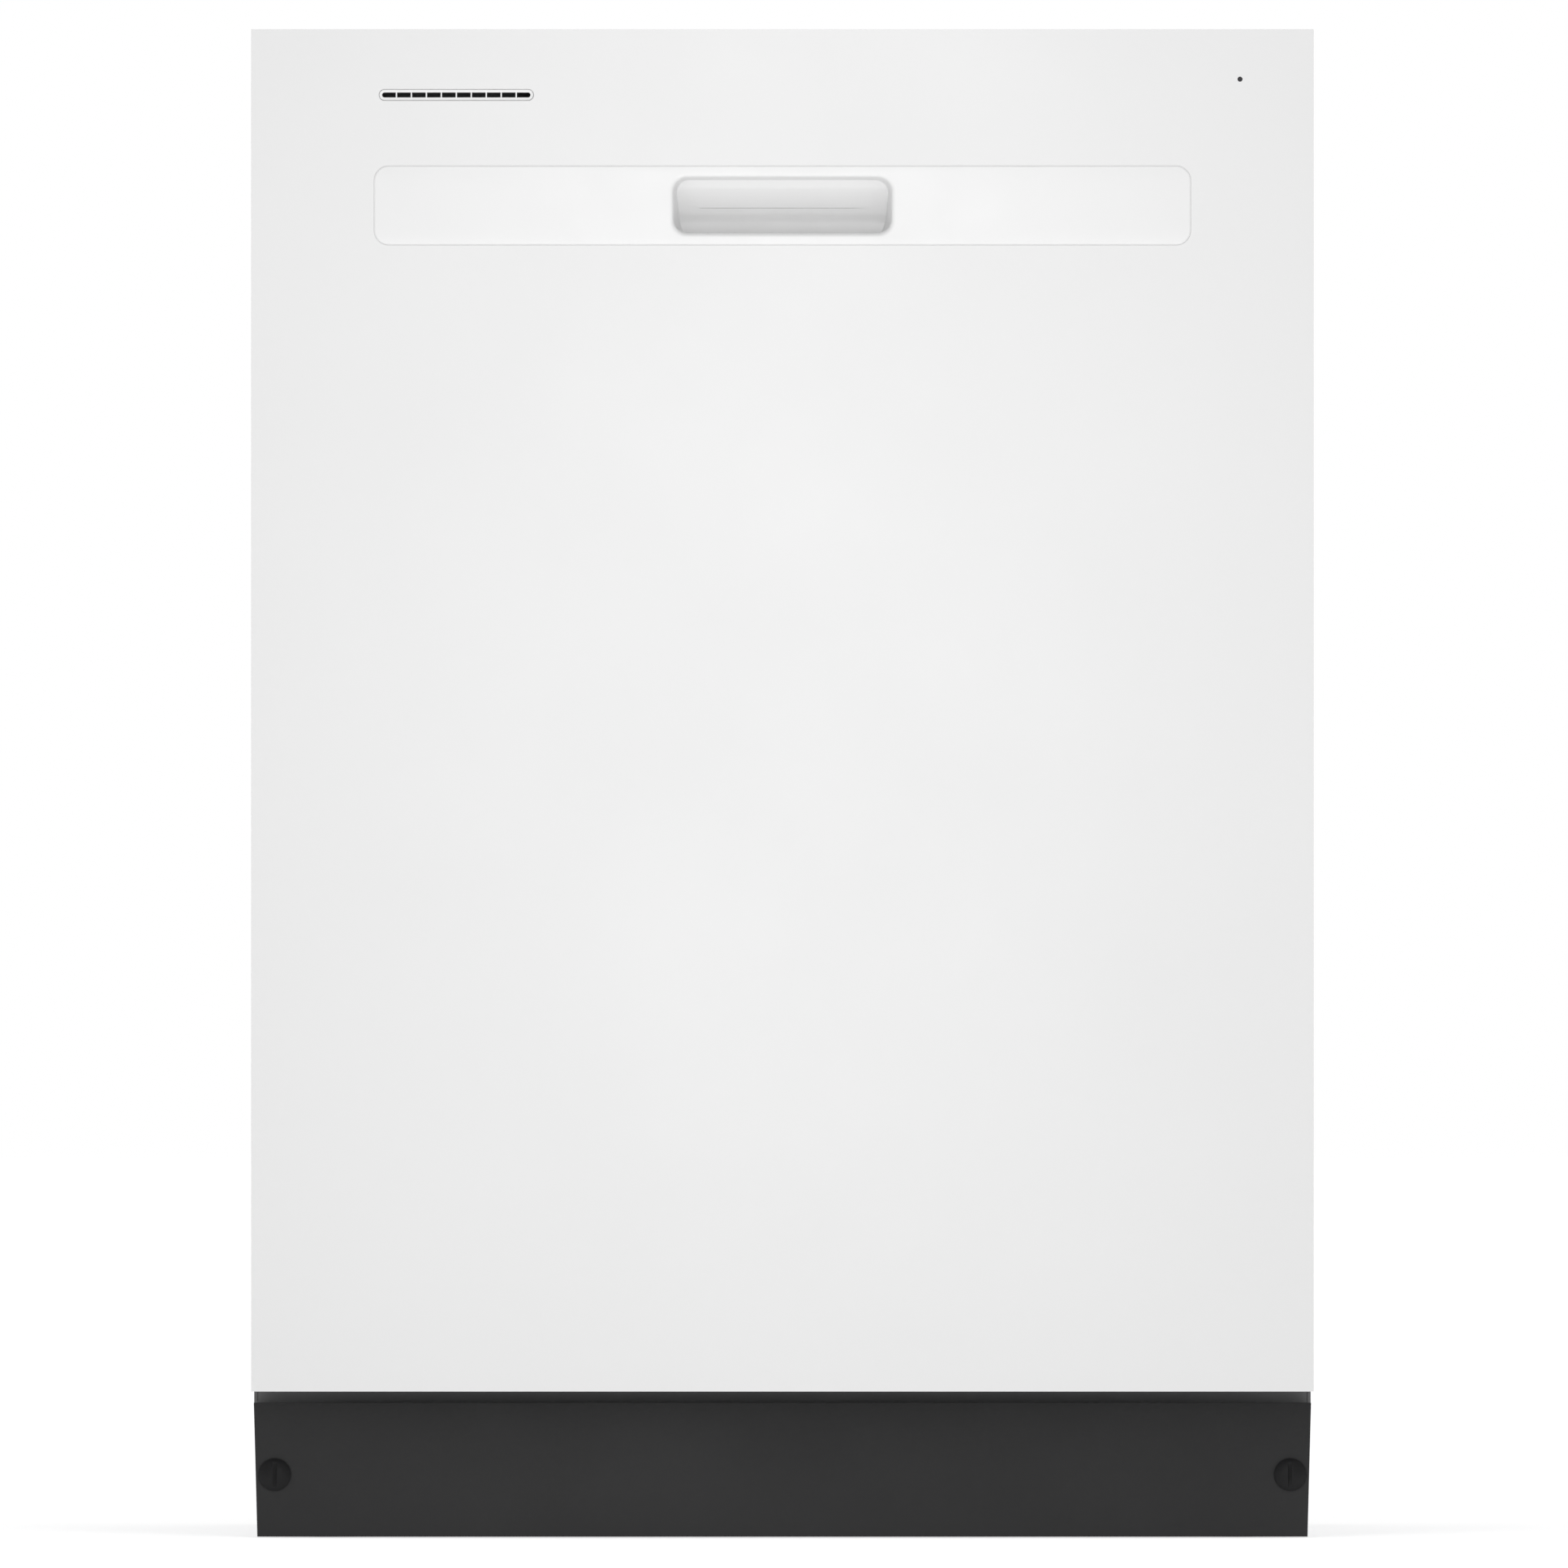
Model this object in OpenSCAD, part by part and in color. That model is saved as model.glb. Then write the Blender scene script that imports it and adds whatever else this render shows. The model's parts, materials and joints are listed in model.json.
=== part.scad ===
// Built-in dishwasher, 24-inch class, with a pocket-handle door and controls on the door's top edge.
// X runs across the front, +Y runs to the back, +Z is up. The origin is on the floor, at the middle
// of the footprint.

/* [Overall] */
// Width across the door panel
overall_w = 606; // [606:1:610]
// Height from the floor to the top of the door
overall_h = 861; // [861:1:876]
// Depth from the door face to the drain fitting at the back
overall_d = 622; // [622:1:640]
// Height of the toe space under the door
toe_h = 84; // [82:1:84]

/* [Door] */
// Thickness of the door, from its face to the inner liner
door_t = 53; // [53:1:54]
// Distance of the hinge pin behind the door face
hinge_setback = 28; // [28:0.5:29]
// Height of the hinge pin above the floor
hinge_h = 120; // [120:1:121]
// Thickness of the outer door sheet
sheet = 1.2; // [0.8:0.1:1.4]
// Depth of the outer panel's folded edges
door_fold = 26; // [20:1:26]

/* [Handle] */
// Length of the handle insert
insert_w = 465; // [440:1:480]
// Height of the handle insert
insert_h = 44.4; // [44:0.2:46]
// Distance of the insert's middle below the top of the door
insert_drop = 100.5; // [100:0.5:104]
// Width of the finger pocket
pocket_w = 129; // [120:1:135]
// Height of the finger pocket's mouth
pocket_h = 36.6; // [34:0.2:37]
// Depth of the finger pocket behind the door face
pocket_d = 26; // [24:0.5:28]

/* [Vent and light] */
// Number of vent slots
vent_slots = 10; // [8:1:12]
// Length of the vent grille
vent_w = 88; // [80:1:92]
// Height of the vent grille
vent_h = 6.2; // [6:0.1:7]
// Offset of the vent to the left of the middle
vent_offset = 186; // [180:1:190]
// Offset of the indicator light to the right of the middle
light_offset = 261; // [255:1:265]
// Radius of the indicator light
light_r = 1.35; // [1.2:0.05:2]

/* [Controls] */
// Width of a push button
button_w = 22; // [20:0.5:24]
// Distance between the push buttons
button_pitch = 38; // [36:1:40]

/* [Tub] */
// Outer width of the wash tub
tub_w = 554; // [552:1:556]
// Wall thickness of the wash tub
tub_wall = 3; // [2.5:0.1:3.5]
// Height of the tub floor
floor_z = 130; // [130:1:131]
// Height of the ledges that the lower rack rolls on
ledge_z = 147; // [147:1:148]

/* [Racks] */
// Wire thickness of the racks
wire = 4; // [3.5:0.1:4.5]
// Spacing of the rack wires
wire_pitch = 50; // [45:1:60]
// Radius of the lower rack's wheels
wheel_r = 17; // [16:0.5:17]
// Radius of the upper rack's rollers
roller_r = 9; // [8.8:0.1:9.1]

/* [Clearances] */
// Radial clearance of a part that turns on a pin
running = 0.06; // [0.03:0.01:0.1]
// Gap between moving parts that pass each other
gap = 0.3; // [0.3:0.05:0.5]

/* [Hidden] */
$fn = 48;
cut = 1;

door_x = overall_w / 2;
front_y = -overall_d / 2;
back_y = overall_d / 2;
liner_y = front_y + door_t;
hinge_y = front_y + hinge_setback;
handle_z = overall_h - insert_drop;
vent_z = overall_h - 37.5;
light_z = overall_h - 28.5;
pocket_y = front_y + pocket_d;

// Door parts
liner_x = 289;
liner_z = [133, overall_h - 15];
liner_t = 2.5;
recess_x = 235;
recess_z = [175, liner_z[1] - 86];
recess_d = 6;
console_z = [overall_h - 14, overall_h - 0.8];
console_y = [front_y + 1.6, liner_y - 1];
console_x = door_x - 1.5;
button_x0 = 96;
button_y = (console_y[0] + console_y[1]) / 2;
button_travel = 1.2;
board_z = console_z[0] + 1;
board_t = 1.6;
switch_h = 1.3;
latch_pivot = [liner_y - 17, overall_h - 23];
strike_z = [overall_h - 16, overall_h - 12];
duct_x = [-vent_offset - 52, -vent_offset + 52];
duct_y = [front_y + 11.2, liner_y - 5];
duct_z = [vent_z - 50, vent_z + 9];
duct_wall = 2;
flap_pivot = [duct_y[1] - 6, duct_z[1] - 18];
flap_pin_r = 1.8;
hook_pin_r = 2;
arm_x = [liner_x, liner_x + 3];
ear_z = hinge_h + 27;
hinge_pin_r = 4;
link_pin_r = 3;
dispenser_z = 545;
cup_x = [-86, -10];
cap_x = 70;
face_y = liner_y + recess_d;

// Tub and body
tub_x = tub_w / 2;
tub_in = tub_x - tub_wall;
tub_y = [liner_y + 6, back_y - 28];
ceiling_z = overall_h - 41;
floor_x = tub_in - 24;
flange_x = 291;
sill_z = [hinge_h + 2, floor_z + 16];
sump_y = -10;
sump_hole_r = 92;
base_x = 289;
base_y = [front_y + 74, back_y - 11];
base_z = [22, floor_z - tub_wall];
base_sheet = 2;
foot_x = 260;
foot_y = [base_y[0] + 26, base_y[1] - 26];
stud_r = 4.92;
kick_y = front_y + 49;
kick_z = [0.5, toe_h - 7];
fastener_x = 290;
fastener_z = 36;
access_y = front_y + 70;
access_z = [20, toe_h + 12];

// Counterbalance: the link runs from the ear on the hinge arm back to the spring.
spring_x = 290.5;
spring_z = hinge_h + 15;
link_x = [295.5, 297.5];
link_rear_y = hinge_y + 149.4;
link_rear_r = 2.5;
spring_anchor_y = link_rear_y + 196;
spring_r = 7;

// Wash system
heater_r = 200;
heater_tube_r = 4;
heater_z = floor_z + 7;
heater_gap = 40;
float_at = [-205, tub_y[0] + 37];
float_stem_r = 5;
fill_at = [-234, 150];
filter_at = [48, sump_y - 26];
filter_r = 28;
filter_plate_z = [floor_z + 2, floor_z + 4];
pump_z = 68;
volute_x = [-124, -96];
valve_at = [fill_at[0], access_y + 56];
valve_z = 75;
feed_y = tub_y[1] - tub_wall - 12;
feed_r = 9;
drain_at = [120, 90];
box_x = [170, 232];
box_y = [access_y + 19, access_y + 81];
box_z = [44, 96];

// Racks
upper_y = [liner_y + 18, 230];
upper_z = [497, 620];
upper_x = 250;
rail_z = 572.3;
rail_x = 262.5;
roller_y = [tub_y[0] + 20, tub_y[0] + 74];
lower_y = [liner_y + 25, 250];
lower_z = [178, 300];
lower_x = 250;
wheel_x = [255, 267];
wheel_y = [-160, 185];
wheel_pin_r = 3;
lower_arm_z = floor_z + 17;
upper_arm_z = 456;
neck_r = 12;

// ---------------------------------------------------------------- shapes

// A box between two values along each axis
module block(x, y, z)
    translate([x[0], y[0], z[0]])
        cube([x[1] - x[0], y[1] - y[0], z[1] - z[0]]);

// Round bars along each axis, with a range along the bar
module rod_x(r, x, y, z)
    translate([x[0], y, z]) rotate([0, 90, 0]) cylinder(r = r, h = x[1] - x[0]);

module rod_y(r, x, y, z)
    translate([x, y[1], z]) rotate([90, 0, 0]) cylinder(r = r, h = y[1] - y[0]);

module rod_z(r, x, y, z)
    translate([x, y, z[0]]) cylinder(r = r, h = z[1] - z[0]);

// An outline drawn in (x, z), thickened along Y
module along_y(y)
    translate([0, y[1], 0]) rotate([90, 0, 0]) linear_extrude(y[1] - y[0]) children();

// An outline drawn in (y, z), thickened along X
module along_x(x)
    translate([x[0], 0, 0]) rotate([90, 0, 90]) linear_extrude(x[1] - x[0]) children();

module along_z(z)
    translate([0, 0, z[0]]) linear_extrude(z[1] - z[0]) children();

module both_sides() {
    children();
    mirror([1, 0, 0]) children();
}

module round_rect(size, r) {
    square([size[0] - 2 * r, size[1]], center = true);
    square([size[0], size[1] - 2 * r], center = true);
    for (sx = [-1, 1], sy = [-1, 1])
        translate([sx * (size[0] / 2 - r), sy * (size[1] / 2 - r)]) circle(r);
}

// Points along an arc about c
function arc(c, r, from, to, steps) =
    [for (i = [0 : steps]) let (a = from + (to - from) * i / steps) c + r * [cos(a), sin(a)]];

function grow(range, by) = [range[0] - by, range[1] + by];

// ---------------------------------------------------------------- door

module door_outer_panel() color("white")
    difference() {
        union() {
            block([-door_x, door_x], [front_y, front_y + sheet], [toe_h, overall_h]);
            block([-door_x, door_x], [front_y, front_y + door_fold], [toe_h, toe_h + sheet]);
            both_sides()
                block([door_x - sheet, door_x], [front_y, front_y + door_fold], [toe_h, overall_h]);
        }
        along_y([front_y - cut, front_y + sheet + cut]) {
            translate([0, handle_z]) round_rect([insert_w + 1, insert_h + 1], 8.5);
            translate([-vent_offset, vent_z]) round_rect([vent_w + 0.4, vent_h + 0.4], vent_h / 2);
            translate([light_offset, light_z]) circle(light_r + 0.1);
        }
    }

// A flush strip with the finger pocket in its middle. The pocket's back slopes away from the top,
// and the fingers hook down behind the lower lip.
module handle_insert() color("white") {
    wall = 2;
    lip = 7;
    hook = 10;
    slope_front_y = front_y + 9.5;
    slope_back_y = pocket_y - 2;
    slope_foot_z = handle_z - 5;
    mouth_z = [handle_z - pocket_h / 2, handle_z + pocket_h / 2];
    seat_y = front_y + sheet + 0.2;
    difference() {
        union() {
            along_y([front_y, seat_y + 0.5]) translate([0, handle_z])
                round_rect([insert_w, insert_h], 8);
            along_y([seat_y, seat_y + 1.8]) translate([0, handle_z])
                round_rect([insert_w + 10, insert_h + 10], 8);
            block([-pocket_w / 2 - wall, pocket_w / 2 + wall], [seat_y, pocket_y + wall],
                  [mouth_z[0] - hook - wall, mouth_z[1] + wall]);
        }
        difference() {
            along_y([front_y - cut, pocket_y]) translate([0, handle_z])
                round_rect([pocket_w, pocket_h], 9);
            along_x([-pocket_w / 2 - cut, pocket_w / 2 + cut])
                polygon([[slope_front_y, mouth_z[1] + cut], [slope_back_y, slope_foot_z],
                         [pocket_y + cut, slope_foot_z], [pocket_y + cut, mouth_z[1] + cut]]);
        }
        block([-pocket_w / 2, pocket_w / 2], [front_y + lip, pocket_y],
              [mouth_z[0] - hook, slope_foot_z]);
    }
}

module vent_grille() color("whitesmoke")
    translate([-vent_offset, 0, vent_z]) {
        rib = 0.8;
        slot_h = 2.8;
        field = vent_w - 3.4;
        slot_w = (field - (vent_slots - 1) * rib) / vent_slots;
        plate_y = front_y + 3;
        difference() {
            union() {
                along_y([front_y + 0.4, plate_y]) round_rect([vent_w, vent_h], vent_h / 2 - 0.1);
                along_y([front_y + sheet + 0.2, plate_y]) round_rect([vent_w + 10, vent_h + 10], 4);
                block([-vent_w / 2 - 2, vent_w / 2 + 2], [plate_y, plate_y + 8], [-5, 5]);
            }
            block([-vent_w / 2, vent_w / 2], [plate_y, plate_y + 8 + cut], [-3.5, 3.5]);
            along_y([front_y, plate_y + cut])
                intersection() {
                    round_rect([field, slot_h], slot_h / 2 - 0.1);
                    for (i = [0 : vent_slots - 1])
                        translate([-field / 2 + i * (slot_w + rib), -slot_h]) square([slot_w, 2 * slot_h]);
                }
        }
    }

// Chamber between the liner's inlet and the grille, with the wax motor that works its flap
module vent_duct() color("dimgray") {
    difference() {
        block(duct_x, duct_y, duct_z);
        block(grow(duct_x, -duct_wall), grow(duct_y, -duct_wall), grow(duct_z, -duct_wall));
        block([-vent_offset - 45, -vent_offset + 45], [duct_y[0] - cut, duct_y[0] + duct_wall + cut],
              [vent_z - 4, vent_z + 4]);
        block([-vent_offset - 38, -vent_offset + 38], [duct_y[1] - duct_wall - cut, duct_y[1] + cut],
              [duct_z[0] + 8, duct_z[0] + 36]);
        rod_x(flap_pin_r + running, grow(duct_x, cut), flap_pivot[0], flap_pivot[1]);
    }
    rod_x(7, [duct_x[1], duct_x[1] + 34], duct_y[0] + 12, duct_z[0] + 14);
}

module vent_flap() color("darkgray") {
    thickness = 1.6;
    block(grow(duct_x, -duct_wall - 1), [flap_pivot[0] - thickness / 2, flap_pivot[0] + thickness / 2],
          [duct_z[0] + 4, flap_pivot[1]]);
    rod_x(flap_pin_r, grow(duct_x, 0.5), flap_pivot[0], flap_pivot[1]);
}

module indicator_light() color("black") {
    rod_y(light_r, light_offset, [front_y + 0.3, front_y + 8], light_z);
    rod_y(3, light_offset, [front_y + sheet + 0.3, front_y + 14], light_z);
}

module control_console() color("dimgray") {
    wall = 2;
    post_r = 3;
    difference() {
        block([-console_x, console_x], console_y, console_z);
        block([-console_x + wall, console_x - wall], grow(console_y, -wall),
              [console_z[0] - cut, console_z[1] - wall]);
        for (i = [0 : 3])
            block([button_x0 + i * button_pitch - button_w / 2 - gap,
                   button_x0 + i * button_pitch + button_w / 2 + gap],
                  [button_y - 6 - gap, button_y + 6 + gap],
                  [console_z[1] - wall - cut, console_z[1] + cut]);
    }
    for (x = [button_x0 - 26, button_x0 + 3 * button_pitch + 26])
        rod_z(post_r, x, button_y - 13, [board_z + board_t, console_z[1] - wall]);
}

// Push button on the door's top edge; its flange stays under the console and its stem meets a switch
module push_button(place) color("gainsboro") {
    x = button_x0 + place * button_pitch;
    flange_top = console_z[1] - 2 - gap;
    block([x - button_w / 2, x + button_w / 2], [button_y - 6, button_y + 6], [flange_top, overall_h]);
    block([x - button_w / 2 - 2, x + button_w / 2 + 2], [button_y - 8, button_y + 8],
          [flange_top - 1.6, flange_top]);
    rod_z(2, x, button_y, [board_z + board_t + switch_h + button_travel + 0.1, flange_top - 1.6]);
}

module button_start() push_button(3);
module button_cycle() push_button(0);
module button_dry() push_button(1);
module button_lock() push_button(2);

module control_board() color("darkgreen") {
    board_x = [button_x0 - 34, button_x0 + 3 * button_pitch + 34];
    relay_x = 14;
    block(board_x, [button_y - 17, button_y + 16], [board_z, board_z + board_t]);
    for (i = [0 : 3])
        block([button_x0 + i * button_pitch - 3, button_x0 + i * button_pitch + 3],
              [button_y - 3, button_y + 3], [board_z + board_t, board_z + board_t + switch_h]);
    for (x = [board_x[0] + 2, board_x[1] - 2 - relay_x])
        block([x, x + relay_x], [button_y - 6, button_y + 14],
              [board_z + board_t, board_z + board_t + 7]);
}

module latch_housing() color("lightgray") {
    wall = 2;
    half = 38;
    housing_y = [front_y + 12, liner_y - 5];
    housing_z = [overall_h - 55, liner_z[1] - liner_t];
    difference() {
        block([-half, half], housing_y, housing_z);
        block([-half + wall, half - wall], grow(housing_y, -wall), grow(housing_z, -wall));
        block([-7, 7], [housing_y[0] + wall, housing_y[1] + cut],
              [housing_z[0] + 6, housing_z[1] + cut]);
    }
    both_sides()
        difference() {
            block([4, 6.6], [latch_pivot[0] - 6, latch_pivot[0] + 6],
                  [housing_z[0] + wall / 2, housing_z[1] - 0.5]);
            rod_x(hook_pin_r + running, [3, 8], latch_pivot[0], latch_pivot[1]);
        }
}

// The hook swings up behind the strike to latch; at rest it is released and clears the strike.
module latch_hook() color("silver") {
    half = 3;
    nose_y = [tub_y[0] + 4.8, tub_y[0] + 8.8];
    arm_z = [latch_pivot[1] - 2, latch_pivot[1] + 2];
    rod_x(hook_pin_r, [-6.5, 6.5], latch_pivot[0], latch_pivot[1]);
    rod_x(5, [-half, half], latch_pivot[0], latch_pivot[1]);
    block([-half, half], [latch_pivot[0], nose_y[1]], arm_z);
    block([-half, half], nose_y, [arm_z[0], strike_z[0] - 1.2]);
    block([-half, half], [latch_pivot[0] - 4, latch_pivot[0]], [latch_pivot[1] - 22, latch_pivot[1]]);
}

module door_liner() color("lightgray") {
    hole = 91;
    difference() {
        union() {
            difference() {
                block([-liner_x, liner_x], [front_y + 5, liner_y], liner_z);
                block([-liner_x + liner_t, liner_x - liner_t], [front_y + 5 - cut, liner_y - liner_t],
                      grow(liner_z, -liner_t));
            }
            block([-recess_x - liner_t, recess_x + liner_t],
                  [liner_y - recess_d - liner_t, liner_y - liner_t / 2], grow(recess_z, liner_t));
        }
        block([-recess_x, recess_x], [liner_y - recess_d, liner_y + cut], recess_z);
        block([-hole, hole], [liner_y - 12, liner_y + cut], [dispenser_z - 71, dispenser_z + 71]);
        block([-vent_offset - 38, -vent_offset + 38], [liner_y - 12, liner_y + cut],
              [duct_z[0] + 8, duct_z[0] + 36]);
        block([-7, 7], [liner_y - 12, liner_y + cut], [liner_z[1] - 14, liner_z[1] + cut]);
    }
}

module door_insulation() color("dimgray")
    block([-284, 284], [front_y + sheet + 0.3, front_y + 11], [140, handle_z - 32]);

module door_bottom_seal() color("black") {
    half = floor_x + 2;
    block([-half, half], [liner_y, liner_y + 2], [liner_z[0], liner_z[0] + 10]);
    block([-half, half], [liner_y, liner_y + 4.5], [liner_z[0] - 5, liner_z[0] + 1]);
}

module dispenser_body() color("darkgray") {
    z0 = dispenser_z;
    inner_y = liner_y - recess_d;
    difference() {
        union() {
            block([-90, 90], [front_y + 13, inner_y], [z0 - 70, z0 + 70]);
            block([-95, 95], [inner_y, face_y], [z0 - 75, z0 + 75]);
            for (s = [-1, 1]) {
                block([-94, 55], [face_y, face_y + 5.4], [z0 + s * 47 - 1.7, z0 + s * 47 + 1.7]);
                block([-94, 55], [face_y + 4, face_y + 5.4], [z0 + s * 45.5 - 2, z0 + s * 45.5 + 2]);
            }
        }
        block(cup_x, [front_y + 24, face_y + cut], [z0 - 40, z0 + 40]);
        rod_y(8, cap_x, [front_y + 22, face_y + cut], z0);
    }
}

module dispenser_cover() color("gray") {
    z0 = dispenser_z;
    block([cup_x[0] - 4, cup_x[1] + 4], [face_y + gap, face_y + 3.6], [z0 - 45, z0 + 45]);
    block([cup_x[0] + 30, cup_x[1] - 30], [face_y + 3.6, face_y + 7], [z0 - 22, z0 + 22]);
}

module rinse_aid_cap() color("dimgray") {
    rod_y(8 - running, cap_x, [front_y + 24, face_y + gap], dispenser_z);
    rod_y(14.5, cap_x, [face_y + gap, face_y + 4], dispenser_z);
    block([cap_x - 3, cap_x + 3], [face_y + 4, face_y + 7], [dispenser_z - 12, dispenser_z + 12]);
}

// Steel arms on both sides of the liner, each with the hinge eye and the ear for the balance link
module hinge_arms() color("silver")
    both_sides() {
        difference() {
            union() {
                rod_x(14, arm_x, hinge_y, hinge_h);
                block(arm_x, [hinge_y - 14, hinge_y + 14], [hinge_h, hinge_h + 300]);
            }
            rod_x(hinge_pin_r + running, grow(arm_x, cut), hinge_y, hinge_h);
            for (z = [hinge_h + 90, hinge_h + 180])
                block(grow(arm_x, cut), [hinge_y - 6, hinge_y + 6], [z, z + 50]);
        }
        rod_x(link_pin_r, [arm_x[1], link_x[1] + 0.5], hinge_y, ear_z);
    }

// ---------------------------------------------------------------- tub

// Outline of the tub's cross-section, grown outwards by g
function tub_outline(g) = concat(
    arc([tub_in - 22, ceiling_z - 22], 22 + g, 0, 90, 6),
    arc([22 - tub_in, ceiling_z - 22], 22 + g, 90, 180, 6),
    [[-tub_in - g, ledge_z - g], [-floor_x - g, ledge_z - g], [-floor_x - g, floor_z - g],
     [floor_x + g, floor_z - g], [floor_x + g, ledge_z - g], [tub_in + g, ledge_z - g]]
);

function heater_end(side) =
    [side * heater_r * sin(heater_gap / 2), sump_y - heater_r * cos(heater_gap / 2)];

module tub() color("gainsboro")
    difference() {
        union() {
            difference() {
                along_y(tub_y) polygon(tub_outline(tub_wall));
                along_y([tub_y[0] - cut, tub_y[1] - tub_wall]) polygon(tub_outline(0));
            }
            tub_front();
            rod_z(8, float_at[0], float_at[1], [floor_z - 12, floor_z + 18]);
            rod_z(14, fill_at[0], fill_at[1], [floor_z - 1, floor_z + 12]);
        }
        rod_z(sump_hole_r, 0, sump_y, [floor_z - 10, floor_z + cut]);
        rod_z(float_stem_r + 0.1, float_at[0], float_at[1], [floor_z - 20, floor_z + 20]);
        rod_z(6, fill_at[0], fill_at[1], [floor_z - 10, floor_z + 8]);
        block([fill_at[0], fill_at[0] + 20], [fill_at[1] - 6, fill_at[1] + 6], [floor_z + 2, floor_z + 8]);
        rod_z(feed_r + gap, 0, feed_y, [floor_z - 10, floor_z + cut]);
        for (side = [-1, 1])
            rod_z(heater_tube_r + gap, heater_end(side)[0], heater_end(side)[1],
                  [floor_z - 10, floor_z + cut]);
    }

// Front flange that carries the gasket, with the sill below and the notch for the latch at the top
module tub_front() {
    flange_y = [tub_y[0], tub_y[0] + tub_wall];
    difference() {
        block([-flange_x, flange_x], flange_y, [sill_z[0], overall_h - 9]);
        along_y(grow(flange_y, cut)) polygon(tub_front_opening());
        block([-20, 20], grow(flange_y, cut), [ceiling_z + 14, overall_h]);
        both_sides()
            block([tub_x, flange_x + cut], grow(flange_y, cut), [0, sill_z[0] + 43]);
    }
}

function tub_front_opening() = concat(
    arc([tub_in - 22, ceiling_z - 22], 22, 0, 90, 6),
    arc([22 - tub_in, ceiling_z - 22], 22, 90, 180, 6),
    [[-tub_in, sill_z[1]], [tub_in, sill_z[1]]]
);

module tub_gasket() color("dimgray") {
    outer_x = tub_x + 11;
    inner_x = tub_x + 2;
    top = ceiling_z + 13;
    along_y([liner_y + gap, tub_y[0]])
        difference() {
            translate([-outer_x, sill_z[1] + 4]) square([2 * outer_x, top - sill_z[1] - 4]);
            translate([-inner_x, sill_z[1]]) square([2 * inner_x, top - 9 - sill_z[1]]);
        }
}

module insulation_blanket() color("dimgray") {
    thick = 7;
    difference() {
        block([-tub_x - thick, tub_x + thick], [tub_y[0] + 14, tub_y[1] + 12],
              [sill_z[1] + 60, ceiling_z + 14]);
        block([-tub_x - 0.5, tub_x + 0.5], [tub_y[0], tub_y[1] + 0.5],
              [sill_z[1], ceiling_z + tub_wall + 0.5]);
    }
}

module door_strike() color("silver") {
    block([-17, 17], [tub_y[0], tub_y[0] + 3], strike_z);
    both_sides()
        block([13, 17], [tub_y[0], tub_y[0] + 3], [strike_z[0], overall_h - 7]);
    block([-34, 34], [tub_y[0] + 3, tub_y[0] + 4.5], [overall_h - 11, overall_h - 7]);
    both_sides()
        block([22, 34], [tub_y[0] + 3, tub_y[0] + 4.5], [ceiling_z + 10, overall_h - 7]);
}

// Steel tabs with the holes for the screws into the worktop
module top_brackets() color("silver") {
    tab_x = 230;
    tab_y = [tub_y[0] + 3, tub_y[0] + 40];
    both_sides()
        difference() {
            union() {
                block([tab_x - 14, tab_x + 14], tab_y, [overall_h - 9, overall_h - 7]);
                block([tab_x - 14, tab_x + 14], [tab_y[0], tab_y[0] + 2], [overall_h - 24, overall_h - 7]);
            }
            rod_z(2.5, tab_x, tab_y[1] - 14, [overall_h - 10, overall_h - 6]);
        }
}

// ---------------------------------------------------------------- base

module base_frame() color("dimgray")
    difference() {
        union() {
            both_sides() {
                block([base_x - base_sheet, base_x], base_y, base_z);
                block([245, base_x], [base_y[0] + 37, base_y[1]], [base_z[1] - base_sheet, base_z[1]]);
                block([base_x - base_sheet, base_x], [spring_anchor_y - 11, spring_anchor_y + 11],
                      [base_z[1] - cut, spring_z + 7]);
                rod_x(2.5, [base_x - base_sheet, spring_x + 3.5], spring_anchor_y, spring_z);
                spring_sleeve();
                block([fastener_x - 9, fastener_x + 9], [base_y[0] - 2.5, base_y[0]], [base_z[0], 60]);
                for (y = foot_y)
                    block([foot_x - 20, base_x - base_sheet / 2], [y - 22, y + 22], [base_z[0], 40]);
            }
            block([-base_x, base_x], [base_y[1] - base_sheet, base_y[1]], base_z);
            block([-foot_x, foot_x], [base_y[0], base_y[0] + 16], [base_z[0], base_z[0] + 14]);
            for (y = [-75, 45])
                block([-base_x, base_x], [y, y + 20], [base_z[0], base_z[0] + base_sheet]);
        }
        both_sides() {
            for (y = foot_y)
                rod_z(stud_r + running, foot_x, y, [base_z[0] - cut, 40 + cut]);
            rod_y(4.2, fastener_x, [base_y[0] - 3.5, base_y[0] + cut], fastener_z);
            block([base_x - base_sheet - cut, base_x + cut], [base_y[0], base_y[0] + 12],
                  [base_z[0] - cut, 50]);
            for (y = [-150, -40, 70, 180])
                block([base_x - base_sheet - cut, base_x + cut], [y, y + 70], [50, 100]);
        }
        rod_y(11.5, drain_at[0], [base_y[1] - base_sheet - cut, base_y[1] + cut], drain_at[1]);
    }

// Tube that guides the back part of the spring, standing on the top edge of the frame's side
module spring_sleeve() {
    bore_r = spring_r + 1.2;
    outer_r = bore_r + 1.3;
    sleeve_y = [spring_anchor_y - 64, spring_anchor_y - 13];
    difference() {
        rod_y(outer_r, spring_x, sleeve_y, spring_z);
        rod_y(bore_r, spring_x, grow(sleeve_y, cut), spring_z);
    }
}

// Plates that carry the hinge pins; the neck passes between the liner and the panel's folded edge
module hinge_brackets() color("silver")
    both_sides() {
        plate_x = [base_x - 6, base_x - 2];
        rod_x(9, plate_x, hinge_y, hinge_h);
        block(plate_x, [hinge_y, base_y[0] + 36], [hinge_h + 1, hinge_h + 11]);
        block(plate_x, [base_y[0] + 1, base_y[0] + 36], [60, hinge_h + 11]);
        rod_x(hinge_pin_r, [plate_x[0], arm_x[1] + 0.6], hinge_y, hinge_h);
        rod_x(6.5, [arm_x[1] + gap, arm_x[1] + 2.3], hinge_y, hinge_h);
    }

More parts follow.
